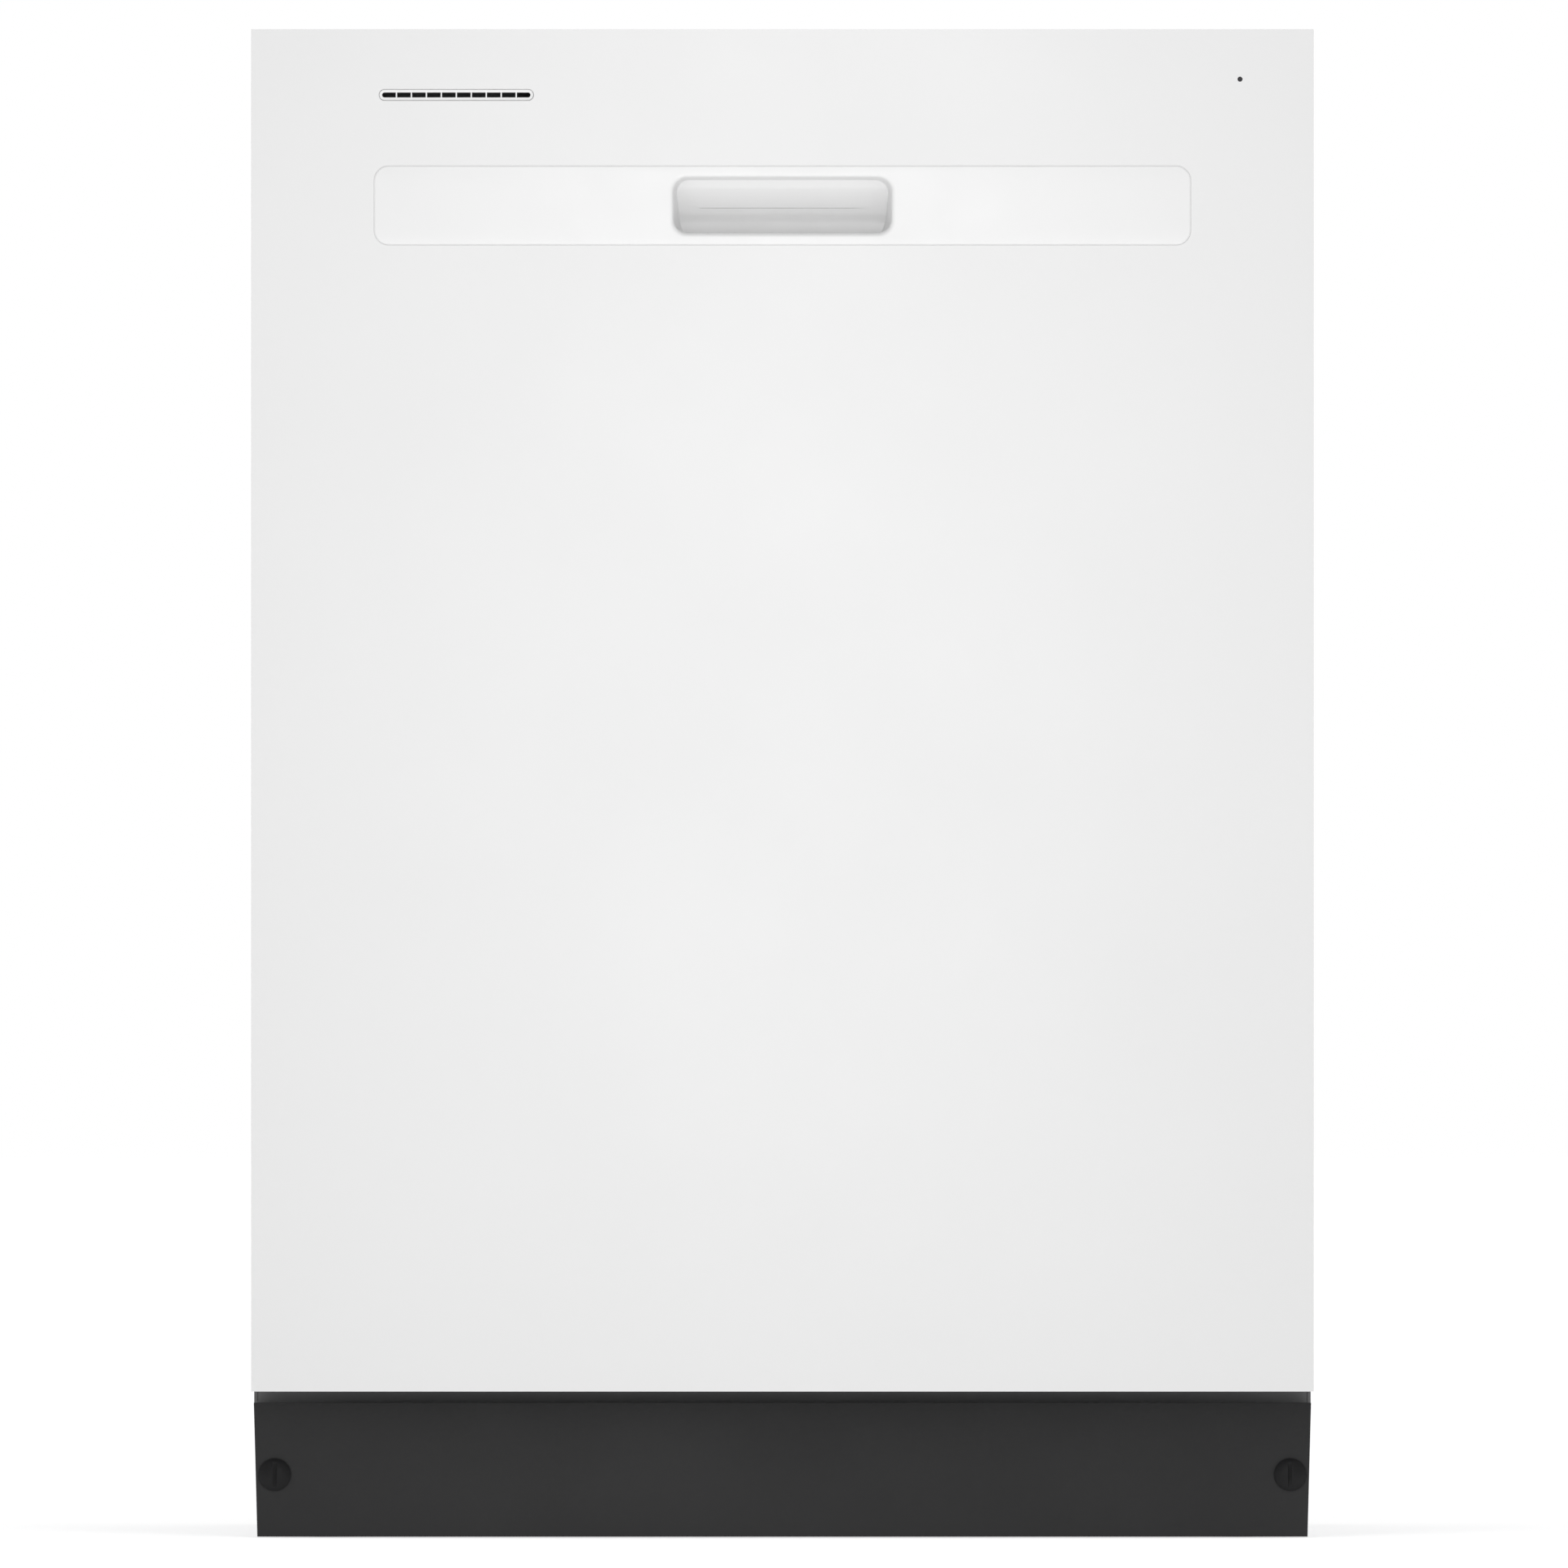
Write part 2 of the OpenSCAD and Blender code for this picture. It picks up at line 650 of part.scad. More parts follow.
// Coil springs drawn as bodies of revolution with one ridge for each turn, and an eye at each end
module door_springs() color("silver") {
    coil_y = [link_rear_y + 22, spring_anchor_y - 22];
    turns = 44;
    pitch = (coil_y[1] - coil_y[0]) / turns;
    wire_r = 1.1;
    ridge = [for (i = [0 : turns - 1])
                each [[spring_r - 0.8, i * pitch], [spring_r, (i + 0.5) * pitch]]];
    bore = [[spring_r - 0.8, turns * pitch], [spring_r - 2.2, turns * pitch], [spring_r - 2.2, 0]];
    both_sides() {
        translate([spring_x, coil_y[0], spring_z]) rotate([-90, 0, 0])
            rotate_extrude() polygon(concat(ridge, bore));
        rod_y(wire_r, spring_x, [link_rear_y + 4.4, coil_y[0] + 1], spring_z);
        rod_y(wire_r, spring_x, [coil_y[1] - 1, spring_anchor_y - 4.4], spring_z);
        for (end = [coil_y[0], coil_y[1] - 1])
            rod_y(spring_r - 2.1, spring_x, [end, end + 1], spring_z);
        for (y = [link_rear_y, spring_anchor_y])
            translate([spring_x, y, spring_z]) rotate([0, 90, 0])
                rotate_extrude() translate([4.4, 0]) circle(wire_r);
    }
}

module balance_links() color("silver") {
    run = [link_rear_y - hinge_y, spring_z - ear_z];
    length = norm(run);
    both_sides() {
        translate([link_x[0], hinge_y, ear_z]) rotate([atan2(run[1], run[0]), 0, 0])
            difference() {
                union() {
                    rod_x(6, [0, link_x[1] - link_x[0]], 0, 0);
                    rod_x(6, [0, link_x[1] - link_x[0]], length, 0);
                    block([0, link_x[1] - link_x[0]], [0, length], [-4, 4]);
                }
                rod_x(link_pin_r + running, [-cut, link_x[1] - link_x[0] + cut], 0, 0);
            }
        rod_x(link_rear_r, [spring_x - 3.5, link_x[0] + 1], link_rear_y, spring_z);
    }
}

// Threaded levelling leg with a hexagon for the spanner and a round pad
module leg(x, y) color("gray") {
    pad = [0, 8];
    hex = [8, 17];
    rod_z(20, x, y, pad);
    translate([x, y, hex[0]]) cylinder(r = 11, h = hex[1] - hex[0], $fn = 6);
    rod_z(stud_r, x, y, [hex[0], 74]);
}

module leg_front_left() leg(-foot_x, foot_y[0]);
module leg_front_right() leg(foot_x, foot_y[0]);
module rear_legs() both_sides() leg(foot_x, foot_y[1]);

module toe_kick_panel() color("black") {
    top_x = door_x - 1;
    bottom_x = door_x - 3;
    thick = 1.5;
    difference() {
        union() {
            along_y([kick_y, kick_y + thick])
                polygon([[-bottom_x, kick_z[0]], [bottom_x, kick_z[0]],
                         [top_x, kick_z[1]], [-top_x, kick_z[1]]]);
            block([-top_x, top_x], [kick_y, kick_y + 10], [kick_z[1] - thick, kick_z[1]]);
            both_sides()
                block([bottom_x - thick, bottom_x], [kick_y, kick_y + 18], [kick_z[0] + 3, kick_z[1]]);
        }
        both_sides() rod_y(5, fastener_x, [kick_y - cut, kick_y + thick + cut], fastener_z);
    }
}

module access_panel() color("black")
    difference() {
        union() {
            block([-300, 300], [access_y, access_y + 1.2], access_z);
            block([-280, 280], [access_y + 1.2, access_y + 3.5], [access_z[0] + 22, access_z[1] - 8]);
        }
        both_sides() rod_y(5, fastener_x, [access_y - cut, access_y + 4], fastener_z);
    }

// Quarter-turn fastener: domed head with a screwdriver slot, and a cross wing behind the frame's tab
module kick_fastener(x) color("black") {
    head_r = 9.3;
    dome = 3.6;
    ball_r = (head_r * head_r + dome * dome) / (2 * dome);
    wing_y = base_y[0] + gap;
    difference() {
        intersection() {
            translate([x, kick_y - 1 - dome + ball_r, fastener_z]) sphere(ball_r);
            rod_y(head_r, x, [kick_y - 8, kick_y - gap], fastener_z);
        }
        block([x - 1.1, x + 1.1], [kick_y - 10, kick_y - 2.6], [fastener_z - 7, fastener_z + 7]);
    }
    rod_y(3.5, x, [kick_y - 1, wing_y + 2], fastener_z);
    block([x - 1.8, x + 1.8], [wing_y, wing_y + 2], [fastener_z - 7, fastener_z + 7]);
}

module kick_fastener_left() kick_fastener(-fastener_x);
module kick_fastener_right() kick_fastener(fastener_x);

// ---------------------------------------------------------------- wash system

module sump() color("dimgray")
    difference() {
        union() {
            translate([0, sump_y, 0]) rotate_extrude()
                polygon([[0, 58], [70, 58], [90, 90], [90, 123], [104, 123], [104, base_z[1]],
                         [91.5, base_z[1]], [91.5, floor_z + gap], [98, floor_z + gap], [98, floor_z + 2],
                         [88.5, floor_z + 2], [88.5, 92], [68, 62], [0, 62]]);
            rod_z(18, 0, sump_y, [60, floor_z + 7]);
            rod_z(neck_r, 0, sump_y, [floor_z + 6, lower_arm_z + 6]);
            rod_x(50, volute_x, sump_y, pump_z);
            rod_x(24, [volute_x[1] - cut, -70], sump_y, pump_z + 6);
            rod_x(15, [74, 100], sump_y, 80);
        }
        rod_x(42, [volute_x[0] - cut, volute_x[1] - 3], sump_y, pump_z);
        rod_x(20, [volute_x[1] - 4, -66], sump_y, pump_z + 6);
        rod_x(11, [66, 101], sump_y, 80);
        rod_z(9, 0, sump_y, [64, lower_arm_z + 10]);
    }

module filter_plate() color("silver")
    difference() {
        rod_z(96, 0, sump_y, filter_plate_z);
        rod_z(18 + gap, 0, sump_y, grow(filter_plate_z, cut));
        rod_z(filter_r + gap, filter_at[0], filter_at[1], grow(filter_plate_z, cut));
    }

module filter_cylinder() color("lightgray") {
    x = filter_at[0];
    y = filter_at[1];
    rim_z = [filter_plate_z[1] + gap, filter_plate_z[1] + gap + 2];
    difference() {
        rod_z(filter_r - 1, x, y, [rim_z[0] - 44, rim_z[1]]);
        rod_z(filter_r - 3, x, y, [rim_z[0] - 45, rim_z[0]]);
    }
    rod_z(filter_r + 3, x, y, rim_z);
    block([x - 3, x + 3], [y - 22, y + 22], [rim_z[1], rim_z[1] + 4.5]);
}

module wash_motor() color("darkgray") {
    can_x = [-212, volute_x[0] - 4];
    difference() {
        union() {
            rod_x(44, can_x, sump_y, pump_z);
            rod_x(52, [volute_x[0] - 4, volute_x[0]], sump_y, pump_z);
            for (i = [0 : 3])
                rod_x(46.5, [can_x[0] + 14 + i * 16, can_x[0] + 18 + i * 16], sump_y, pump_z);
            block([can_x[0] + 10, can_x[0] + 50], [sump_y - 20, sump_y + 20], [pump_z + 30, pump_z + 54]);
            block([can_x[0] + 30, can_x[0] + 42], [sump_y - 65, sump_y + 65], [base_z[0] + base_sheet, 30]);
        }
        rod_x(4 + running, [volute_x[0] - 28, volute_x[0] + cut], sump_y, pump_z);
    }
}

module wash_impeller() color("whitesmoke") {
    wheel_x0 = volute_x[0] + 5;
    rod_x(4, [volute_x[0] - 26, wheel_x0 + 10], sump_y, pump_z);
    rod_x(10, [wheel_x0, wheel_x0 + 14], sump_y, pump_z);
    rod_x(38, [wheel_x0, wheel_x0 + 2.5], sump_y, pump_z);
    for (i = [0 : 5])
        translate([0, sump_y, pump_z]) rotate([i * 60, 0, 0])
            block([wheel_x0 + 2, wheel_x0 + 13], [-1.2, 1.2], [8, 36]);
}

module drain_pump() color("gray") {
    rod_x(26, [100, 132], sump_y, 80);
    rod_x(20, [132, 168], sump_y, 80);
    rod_y(8, drain_at[0], [sump_y, 46], drain_at[1]);
    block([134, 160], [sump_y - 26, sump_y + 26], [70, 90]);
}

// Ribbed hose from the drain pump to the fitting in the back panel, held at both ends
module drain_hose() color("gray") {
    hose_y = [34, base_y[1] - 9];
    ribs = 30;
    pitch = (hose_y[1] - hose_y[0]) / ribs;
    inner = 8 + gap;
    ridge = [for (i = [0 : ribs - 1])
                each [[10.5, i * pitch], [12.5, (i + 0.25) * pitch],
                      [12.5, (i + 0.6) * pitch], [10.5, (i + 0.85) * pitch]]];
    x = drain_at[0];
    z = drain_at[1];
    translate([x, hose_y[0], z]) rotate([-90, 0, 0]) rotate_extrude()
        polygon(concat(ridge, [[10.5, ribs * pitch], [inner, ribs * pitch], [inner, 0]]));
    difference() {
        union() {
            rod_y(16, x, [hose_y[1], base_y[1] - base_sheet], z);
            rod_y(11.2, x, [hose_y[1], base_y[1] + 1], z);
            rod_y(16, x, [base_y[1], base_y[1] + 3], z);
            rod_y(10, x, [base_y[1] + 3, back_y], z);
        }
        rod_y(7, x, [hose_y[1] - cut, back_y + cut], z);
    }
}

module heating_element() color("gray") {
    translate([0, sump_y, heater_z]) rotate([0, 0, heater_gap / 2 - 90])
        rotate_extrude(angle = 360 - heater_gap) translate([heater_r, 0]) circle(heater_tube_r);
    for (side = [-1, 1]) {
        x = heater_end(side)[0];
        y = heater_end(side)[1];
        translate([x, y, heater_z]) sphere(heater_tube_r + 0.5);
        rod_z(heater_tube_r, x, y, [floor_z - 20, heater_z]);
        rod_z(9, x, y, [floor_z - 11, base_z[1]]);
    }
}

module overfill_float() color("lightgray") {
    x = float_at[0];
    y = float_at[1];
    top = floor_z + 38;
    difference() {
        rod_z(22, x, y, [floor_z + 3, top]);
        rod_z(20, x, y, [floor_z + 2, top - 2.5]);
    }
    rod_z(float_stem_r, x, y, [floor_z - 28, top - 2]);
}

module inlet_valve() color("steelblue") {
    x = valve_at[0];
    y = valve_at[1];
    block([x - 24, x + 24], [y - 20, y + 20], [valve_z - 15, valve_z + 15]);
    rod_z(13.25, x + 8, y + 8, [valve_z - 38, valve_z - 15]);
    rod_z(15, x, y, [valve_z + 15, valve_z + 42]);
    rod_y(5.5, x, [y + 20, y + 46], valve_z);
    block([-base_x + base_sheet, x - 24], [y - 3, y], [valve_z - 18, valve_z + 12]);
}

module fill_hose() color("black") {
    x = fill_at[0];
    bend = 22;
    bore_r = 5.5 + gap;
    hose_r = 8;
    difference() {
        union() {
            rod_y(hose_r, x, [valve_at[1] + 24, fill_at[1] - bend], valve_z);
            translate([x, fill_at[1] - bend, valve_z + bend]) rotate([0, 90, 0])
                rotate_extrude(angle = 90) translate([bend, 0]) circle(hose_r);
            rod_z(hose_r, x, fill_at[1], [valve_z + bend, base_z[1]]);
        }
        rod_y(bore_r, x, [valve_at[1] + 23, fill_at[1] - bend - 10], valve_z);
    }
}

// Open-fronted steel box with a screwed cover, and a knock-out in its floor for the cable clamp
module junction_box() color("silver") {
    wall = 1.5;
    difference() {
        block(box_x, box_y, box_z);
        block(grow(box_x, -wall), [box_y[0] - cut, box_y[1] - wall], grow(box_z, -wall));
        rod_z(11.1, box_x[0] + 14, box_y[0] + 46, [box_z[0] - cut, box_z[0] + wall + cut]);
    }
    block(grow(box_x, 2), [box_y[0] - wall, box_y[0]], grow(box_z, 2));
    block([box_x[0] + 29, box_x[1] - 6], [box_y[1] - 24, box_y[1] - wall], [60, 80]);
    block([box_x[1], base_x - base_sheet], [box_y[1] - 20, box_y[1] - 16], [60, 80]);
}

// Pipe from the sump, under the floor and up the back wall to the top spray head, with the docking port
module feed_tube() color("lightgray") {
    low = 106;
    top = ceiling_z - 14;
    head_y = 20;
    dock_z = upper_arm_z + 30;
    rod_y(feed_r, 0, [sump_y + 90.2, feed_y], low);
    translate([0, feed_y, low]) sphere(feed_r);
    rod_z(feed_r, 0, feed_y, [low, top]);
    translate([0, feed_y, top]) sphere(feed_r);
    rod_y(feed_r, 0, [head_y, feed_y], top);
    rod_z(30, 0, head_y, [top - 16, top + 6]);
    difference() {
        rod_y(12, 0, [upper_y[1] + 8, feed_y], dock_z);
        rod_y(10, 0, [upper_y[1] + 7, feed_y - 12], dock_z);
    }
}

// A blade with a boss in the middle; two short wings keep it balanced
module spray_arm(y, z, reach, boss_r, bore_r, bore_z) {
    thick = 11;
    difference() {
        union() {
            translate([0, y, 0]) along_z([z, z + thick]) {
                polygon([[-reach, -14], [-reach + 24, -20], [-boss_r, -22], [boss_r, -20], [reach, -12],
                         [reach, 14], [reach - 24, 20], [boss_r, 22], [-boss_r, 20], [-reach, 12]]);
                circle(boss_r);
            }
            rod_z(boss_r - 6, 0, y, grow([z, z + thick], 3));
        }
        rod_z(bore_r, 0, y, bore_z);
        for (side = [-1, 1], i = [1 : 4])
            rod_z(1.5, side * (boss_r + i * (reach - boss_r - 12) / 4), y + side * 6,
                  [z + thick - 3, z + thick + cut]);
    }
}

module lower_spray_arm() color("lightgray")
    spray_arm(sump_y, lower_arm_z, 232, 30, neck_r + running, [lower_arm_z - 4, lower_arm_z + 7]);

module upper_spray_arm() color("lightgray")
    spray_arm(sump_y, upper_arm_z, 212, 26, 10 + running, [upper_arm_z - 4, upper_arm_z + 15]);

// ---------------------------------------------------------------- racks

module wire_ring(half, y, z) {
    difference() {
        block([-half, half], y, [z, z + wire]);
        block([-half + wire, half - wire], grow(y, -wire), [z - cut, z + wire + cut]);
    }
}

// Open basket of wires: rings round the walls, and floor wires that turn up into the walls
module wire_basket(half, y, z) {
    across = round(2 * half / wire_pitch);
    along = round((y[1] - y[0]) / wire_pitch);
    for (h = [z[0], (z[0] + z[1]) / 2, z[1] - wire])
        wire_ring(half, y, h);
    for (i = [0 : across])
        let (x = -half + i * (2 * half - wire) / across) {
            block([x, x + wire], y, [z[0], z[0] + wire]);
            block([x, x + wire], [y[0], y[0] + wire], z);
            block([x, x + wire], [y[1] - wire, y[1]], z);
        }
    for (i = [1 : along - 1])
        let (p = y[0] + i * (y[1] - y[0] - wire) / along) {
            block([-half, half], [p, p + wire], [z[0], z[0] + wire]);
            both_sides() block([half - wire, half], [p, p + wire], z);
        }
}

// Basket with its side rails, and the pipe under it that carries the upper spray arm
module upper_rack() color("lightgray") {
    channel = roller_r + gap;
    rail_y = [upper_y[0] + 4, upper_y[1] + 4];
    pipe_z = upper_arm_z + 30;
    wire_basket(upper_x, upper_y, upper_z);
    both_sides() {
        block([rail_x, rail_x + 1.5], rail_y, [rail_z - channel - 2, rail_z + channel + 2]);
        for (z = [rail_z - channel - 2, rail_z + channel])
            block([rail_x, rail_x + 9], rail_y, [z, z + 2]);
        for (y = [upper_y[0] + 30, upper_y[1] - 50])
            block([upper_x - wire, rail_x], [y, y + 16], [rail_z - 14, rail_z + 6]);
    }
    rod_y(feed_r, 0, [sump_y, upper_y[1] + 6], pipe_z);
    rod_z(10, 0, sump_y, [upper_arm_z - 6, pipe_z]);
    rod_z(14, 0, sump_y, [upper_arm_z - 9, upper_arm_z - 3 - gap]);
    for (y = [sump_y + 20, upper_y[1] - 30])
        block([-6, 6], [y, y + 12], [pipe_z + 4, upper_z[0] + 1]);
}

// Wall plates with the studs that the rail rollers turn on
module rail_mounts() color("silver")
    both_sides() {
        block([tub_in - 1.5, tub_in], [roller_y[0] - 14, roller_y[1] + 14], [rail_z - 14, rail_z + 14]);
        for (y = roller_y)
            rod_x(3, [rail_x + 2, tub_in - 1], y, rail_z);
    }

module roller_pair(y) color("whitesmoke")
    both_sides()
        difference() {
            rod_x(roller_r, [rail_x + 2.2, tub_in - 2], y, rail_z);
            rod_x(3 + running, [rail_x, tub_in], y, rail_z);
        }

module rail_rollers_front() roller_pair(roller_y[0]);
module rail_rollers_rear() roller_pair(roller_y[1]);

module lower_rack() color("lightgray") {
    wire_basket(lower_x, lower_y, lower_z);
    axle_z = ledge_z + wheel_r;
    both_sides()
        for (y = wheel_y) {
            block([lower_x - wire, lower_x], [y - 14, y + 14], [axle_z - 6, lower_z[0] + 1]);
            rod_x(wheel_pin_r, [lower_x - 1, wheel_x[1] + 1.5], y, axle_z);
        }
}

module wheel_pair(y) color("lightgray") {
    axle_z = ledge_z + wheel_r;
    both_sides()
        difference() {
            rod_x(wheel_r - 0.2, wheel_x, y, axle_z);
            rod_x(wheel_pin_r + running, grow(wheel_x, cut), y, axle_z);
            rod_x(wheel_r - 5, [wheel_x[1] - 3, wheel_x[1] + cut], y, axle_z);
        }
}

module lower_wheels_front() wheel_pair(wheel_y[0]);
module lower_wheels_rear() wheel_pair(wheel_y[1]);

// Cutlery basket: two rows of pockets with a carrying handle over the middle
module silverware_basket() color("gray") {
    wall = 2;
    basket_x = [4, 240];
    basket_y = [lower_y[0] + 6, lower_y[0] + 92];
    basket_z = [lower_z[0] + wire + gap, lower_z[1] - 6];
    cells = 4;
    cell_w = (basket_x[1] - basket_x[0] - wall) / cells;
    cell_d = (basket_y[1] - basket_y[0] - wall) / 2;
    difference() {
        block(basket_x, basket_y, basket_z);
        for (i = [0 : cells - 1], j = [0 : 1])
            block([basket_x[0] + wall + i * cell_w, basket_x[0] + (i + 1) * cell_w],
                  [basket_y[0] + wall + j * cell_d, basket_y[0] + (j + 1) * cell_d],
                  [basket_z[0] + wall, basket_z[1] + cut]);
    }
    mid_x = (basket_x[0] + basket_x[1]) / 2;
    mid_y = (basket_y[0] + basket_y[1]) / 2;
    for (side = [-1, 1])
        block([mid_x + side * 50 - 4, mid_x + side * 50 + 4], [mid_y - 1, mid_y + 3],
              [basket_z[1] - 2, basket_z[1] + 32]);
    block([mid_x - 54, mid_x + 54], [mid_y - 1, mid_y + 3], [basket_z[1] + 26, basket_z[1] + 34]);
}

// ---------------------------------------------------------------- nodes

door_outer_panel();
handle_insert();
vent_grille();
vent_duct();
vent_flap();
indicator_light();
control_console();
button_start();
button_cycle();
button_dry();
button_lock();
control_board();
latch_housing();
latch_hook();
door_liner();
door_insulation();
door_bottom_seal();
dispenser_body();
dispenser_cover();
rinse_aid_cap();
hinge_arms();
tub();
tub_gasket();
insulation_blanket();
door_strike();
top_brackets();
base_frame();
hinge_brackets();
door_springs();
balance_links();
leg_front_left();
leg_front_right();
rear_legs();
toe_kick_panel();
access_panel();
kick_fastener_left();
kick_fastener_right();
sump();
filter_plate();
filter_cylinder();
wash_motor();
wash_impeller();
drain_pump();
drain_hose();
heating_element();
overfill_float();
inlet_valve();
fill_hose();
junction_box();
feed_tube();
lower_spray_arm();
upper_spray_arm();
upper_rack();
rail_mounts();
rail_rollers_front();
rail_rollers_rear();
lower_rack();
lower_wheels_front();
lower_wheels_rear();
silverware_basket();
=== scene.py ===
"""Built-in dishwasher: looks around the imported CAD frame. Metres; +X right, +Y to the back, +Z up."""
import json
import math

import bmesh
import bpy
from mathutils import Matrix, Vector


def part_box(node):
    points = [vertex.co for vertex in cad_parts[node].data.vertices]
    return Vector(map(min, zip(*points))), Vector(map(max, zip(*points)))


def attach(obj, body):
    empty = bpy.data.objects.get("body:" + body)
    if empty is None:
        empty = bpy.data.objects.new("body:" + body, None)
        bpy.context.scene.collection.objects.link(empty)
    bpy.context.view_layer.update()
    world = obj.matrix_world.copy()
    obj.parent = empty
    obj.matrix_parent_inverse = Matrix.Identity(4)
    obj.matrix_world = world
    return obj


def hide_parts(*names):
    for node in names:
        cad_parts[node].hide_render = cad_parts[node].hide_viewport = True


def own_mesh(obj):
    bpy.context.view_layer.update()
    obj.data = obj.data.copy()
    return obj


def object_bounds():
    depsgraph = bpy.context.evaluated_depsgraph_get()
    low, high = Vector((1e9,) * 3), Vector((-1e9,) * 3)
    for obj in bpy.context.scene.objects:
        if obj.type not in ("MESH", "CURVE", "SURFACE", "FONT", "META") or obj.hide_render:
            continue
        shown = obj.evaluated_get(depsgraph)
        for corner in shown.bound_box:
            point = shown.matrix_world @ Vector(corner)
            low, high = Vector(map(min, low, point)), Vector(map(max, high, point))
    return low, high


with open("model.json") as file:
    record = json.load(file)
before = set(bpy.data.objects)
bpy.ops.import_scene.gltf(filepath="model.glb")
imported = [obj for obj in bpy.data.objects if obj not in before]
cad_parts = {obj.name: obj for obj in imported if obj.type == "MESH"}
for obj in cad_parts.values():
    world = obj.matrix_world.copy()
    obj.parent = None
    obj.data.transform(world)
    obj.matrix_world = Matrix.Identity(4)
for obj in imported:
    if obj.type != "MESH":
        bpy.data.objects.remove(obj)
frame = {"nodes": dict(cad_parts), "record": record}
CAD_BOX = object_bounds()
RECORD = frame["record"]
NODE_SLOT = {part["node"]: part["material_slot"] for part in RECORD["subparts"]}
NODE_BODY = {node: body for body, nodes in RECORD["behaviour"]["bodies"].items() for node in nodes}

MM = 0.001
SMOOTH_ANGLE = math.radians(38)
replaced = set()


# ------------------------------------------------------------------ materials

class Shade:
    """A node material. Object coordinates are the frame's metres, so scales are per metre."""

    def __init__(self, name, colour, roughness, metallic=0.0, **sockets):
        self.mat = bpy.data.materials.new(name)
        self.mat.use_nodes = True
        self.tree = self.mat.node_tree
        self.shader = self.tree.nodes["Principled BSDF"]
        self.colour = colour
        self.shader.inputs["Base Color"].default_value = (*colour, 1)
        self.shader.inputs["Roughness"].default_value = roughness
        self.shader.inputs["Metallic"].default_value = metallic
        for key, value in sockets.items():
            self.shader.inputs[key.replace("_", " ")].default_value = value
        self.coords = self.add("ShaderNodeTexCoord").outputs["Object"]
        self.height = None

    def add(self, kind, **settings):
        node = self.tree.nodes.new(kind)
        for key, value in settings.items():
            setattr(node, key, value)
        return node

    def link(self, source, target):
        self.tree.links.new(source, target)

    def noise(self, scale, detail=3.0, stretch=(1, 1, 1), distortion=0.0):
        place = self.add("ShaderNodeMapping")
        place.inputs["Scale"].default_value = stretch
        self.link(self.coords, place.inputs["Vector"])
        tex = self.add("ShaderNodeTexNoise")
        tex.inputs["Scale"].default_value = scale
        tex.inputs["Detail"].default_value = detail
        tex.inputs["Distortion"].default_value = distortion
        self.link(place.outputs["Vector"], tex.inputs["Vector"])
        return tex.outputs["Fac"]

    def cells(self, scale, feature="F1", stretch=(1, 1, 1)):
        place = self.add("ShaderNodeMapping")
        place.inputs["Scale"].default_value = stretch
        self.link(self.coords, place.inputs["Vector"])
        tex = self.add("ShaderNodeTexVoronoi", feature=feature)
        tex.inputs["Scale"].default_value = scale
        self.link(place.outputs["Vector"], tex.inputs["Vector"])
        return tex

    def holes(self, pitch, radius, axes=("X", "Y")):
        """1 on the metal and 0 in a square grid of round holes."""
        split = self.add("ShaderNodeSeparateXYZ")
        self.link(self.coords, split.inputs["Vector"])
        squares = []
        for axis in axes:
            wave = self.add("ShaderNodeMath", operation="PINGPONG")
            wave.inputs[1].default_value = pitch / 2
            self.link(split.outputs[axis], wave.inputs[0])
            square = self.add("ShaderNodeMath", operation="POWER")
            square.inputs[1].default_value = 2
            self.link(wave.outputs[0], square.inputs[0])
            squares.append(square)
        total = self.add("ShaderNodeMath", operation="ADD")
        self.link(squares[0].outputs[0], total.inputs[0])
        self.link(squares[1].outputs[0], total.inputs[1])
        inside = self.add("ShaderNodeMath", operation="GREATER_THAN")
        inside.inputs[1].default_value = radius ** 2
        self.link(total.outputs[0], inside.inputs[0])
        return inside.outputs[0]

    def between(self, source, low, high, start=0.3, stop=0.7):
        span = self.add("ShaderNodeMapRange")
        for key, value in (("From Min", start), ("From Max", stop), ("To Min", low), ("To Max", high)):
            span.inputs[key].default_value = value
        self.link(source, span.inputs["Value"])
        return span.outputs["Result"]

    def vary_colour(self, source, dark, light, start=0.3, stop=0.7):
        """Base colour runs from dark times to light times the material's own colour."""
        ramp = self.add("ShaderNodeValToRGB")
        for element, place, share in zip(ramp.color_ramp.elements, (start, stop), (dark, light)):
            element.position = place
            element.color = (*[min(1.0, c * share) for c in self.colour], 1)
        self.link(source, ramp.inputs["Fac"])
        self.link(ramp.outputs["Color"], self.shader.inputs["Base Color"])

    def vary_roughness(self, source, low, high):
        self.link(self.between(source, low, high), self.shader.inputs["Roughness"])

    def bump(self, source, strength, distance):
        node = self.add("ShaderNodeBump")
        node.inputs["Strength"].default_value = strength
        node.inputs["Distance"].default_value = distance
        self.link(source, node.inputs["Height"])
        if self.height is not None:
            self.link(self.height, node.inputs["Normal"])
        self.height = node.outputs["Normal"]
        self.link(self.height, self.shader.inputs["Normal"])


def painted(name, colour, roughness, peel=0.10, **sockets):
    m = Shade(name, colour, roughness, **sockets)
    m.bump(m.noise(420, 2), peel, 0.0002)
    m.vary_roughness(m.noise(9, 4), roughness - 0.04, roughness + 0.05)
    m.vary_colour(m.noise(5, 3), 0.992, 1.006)
    return m


def moulded(name, colour, roughness, grain=1800, depth=0.12, mottle=0.03, **sockets):
    m = Shade(name, colour, roughness, **sockets)
    m.bump(m.noise(grain, 2), depth, 0.00012)
    m.bump(m.noise(14, 2), 0.05, 0.0006)
    m.vary_roughness(m.noise(35, 4), roughness - 0.06, roughness + 0.06)
    m.vary_colour(m.noise(24, 4), 1 - mottle, 1 + mottle)
    return m


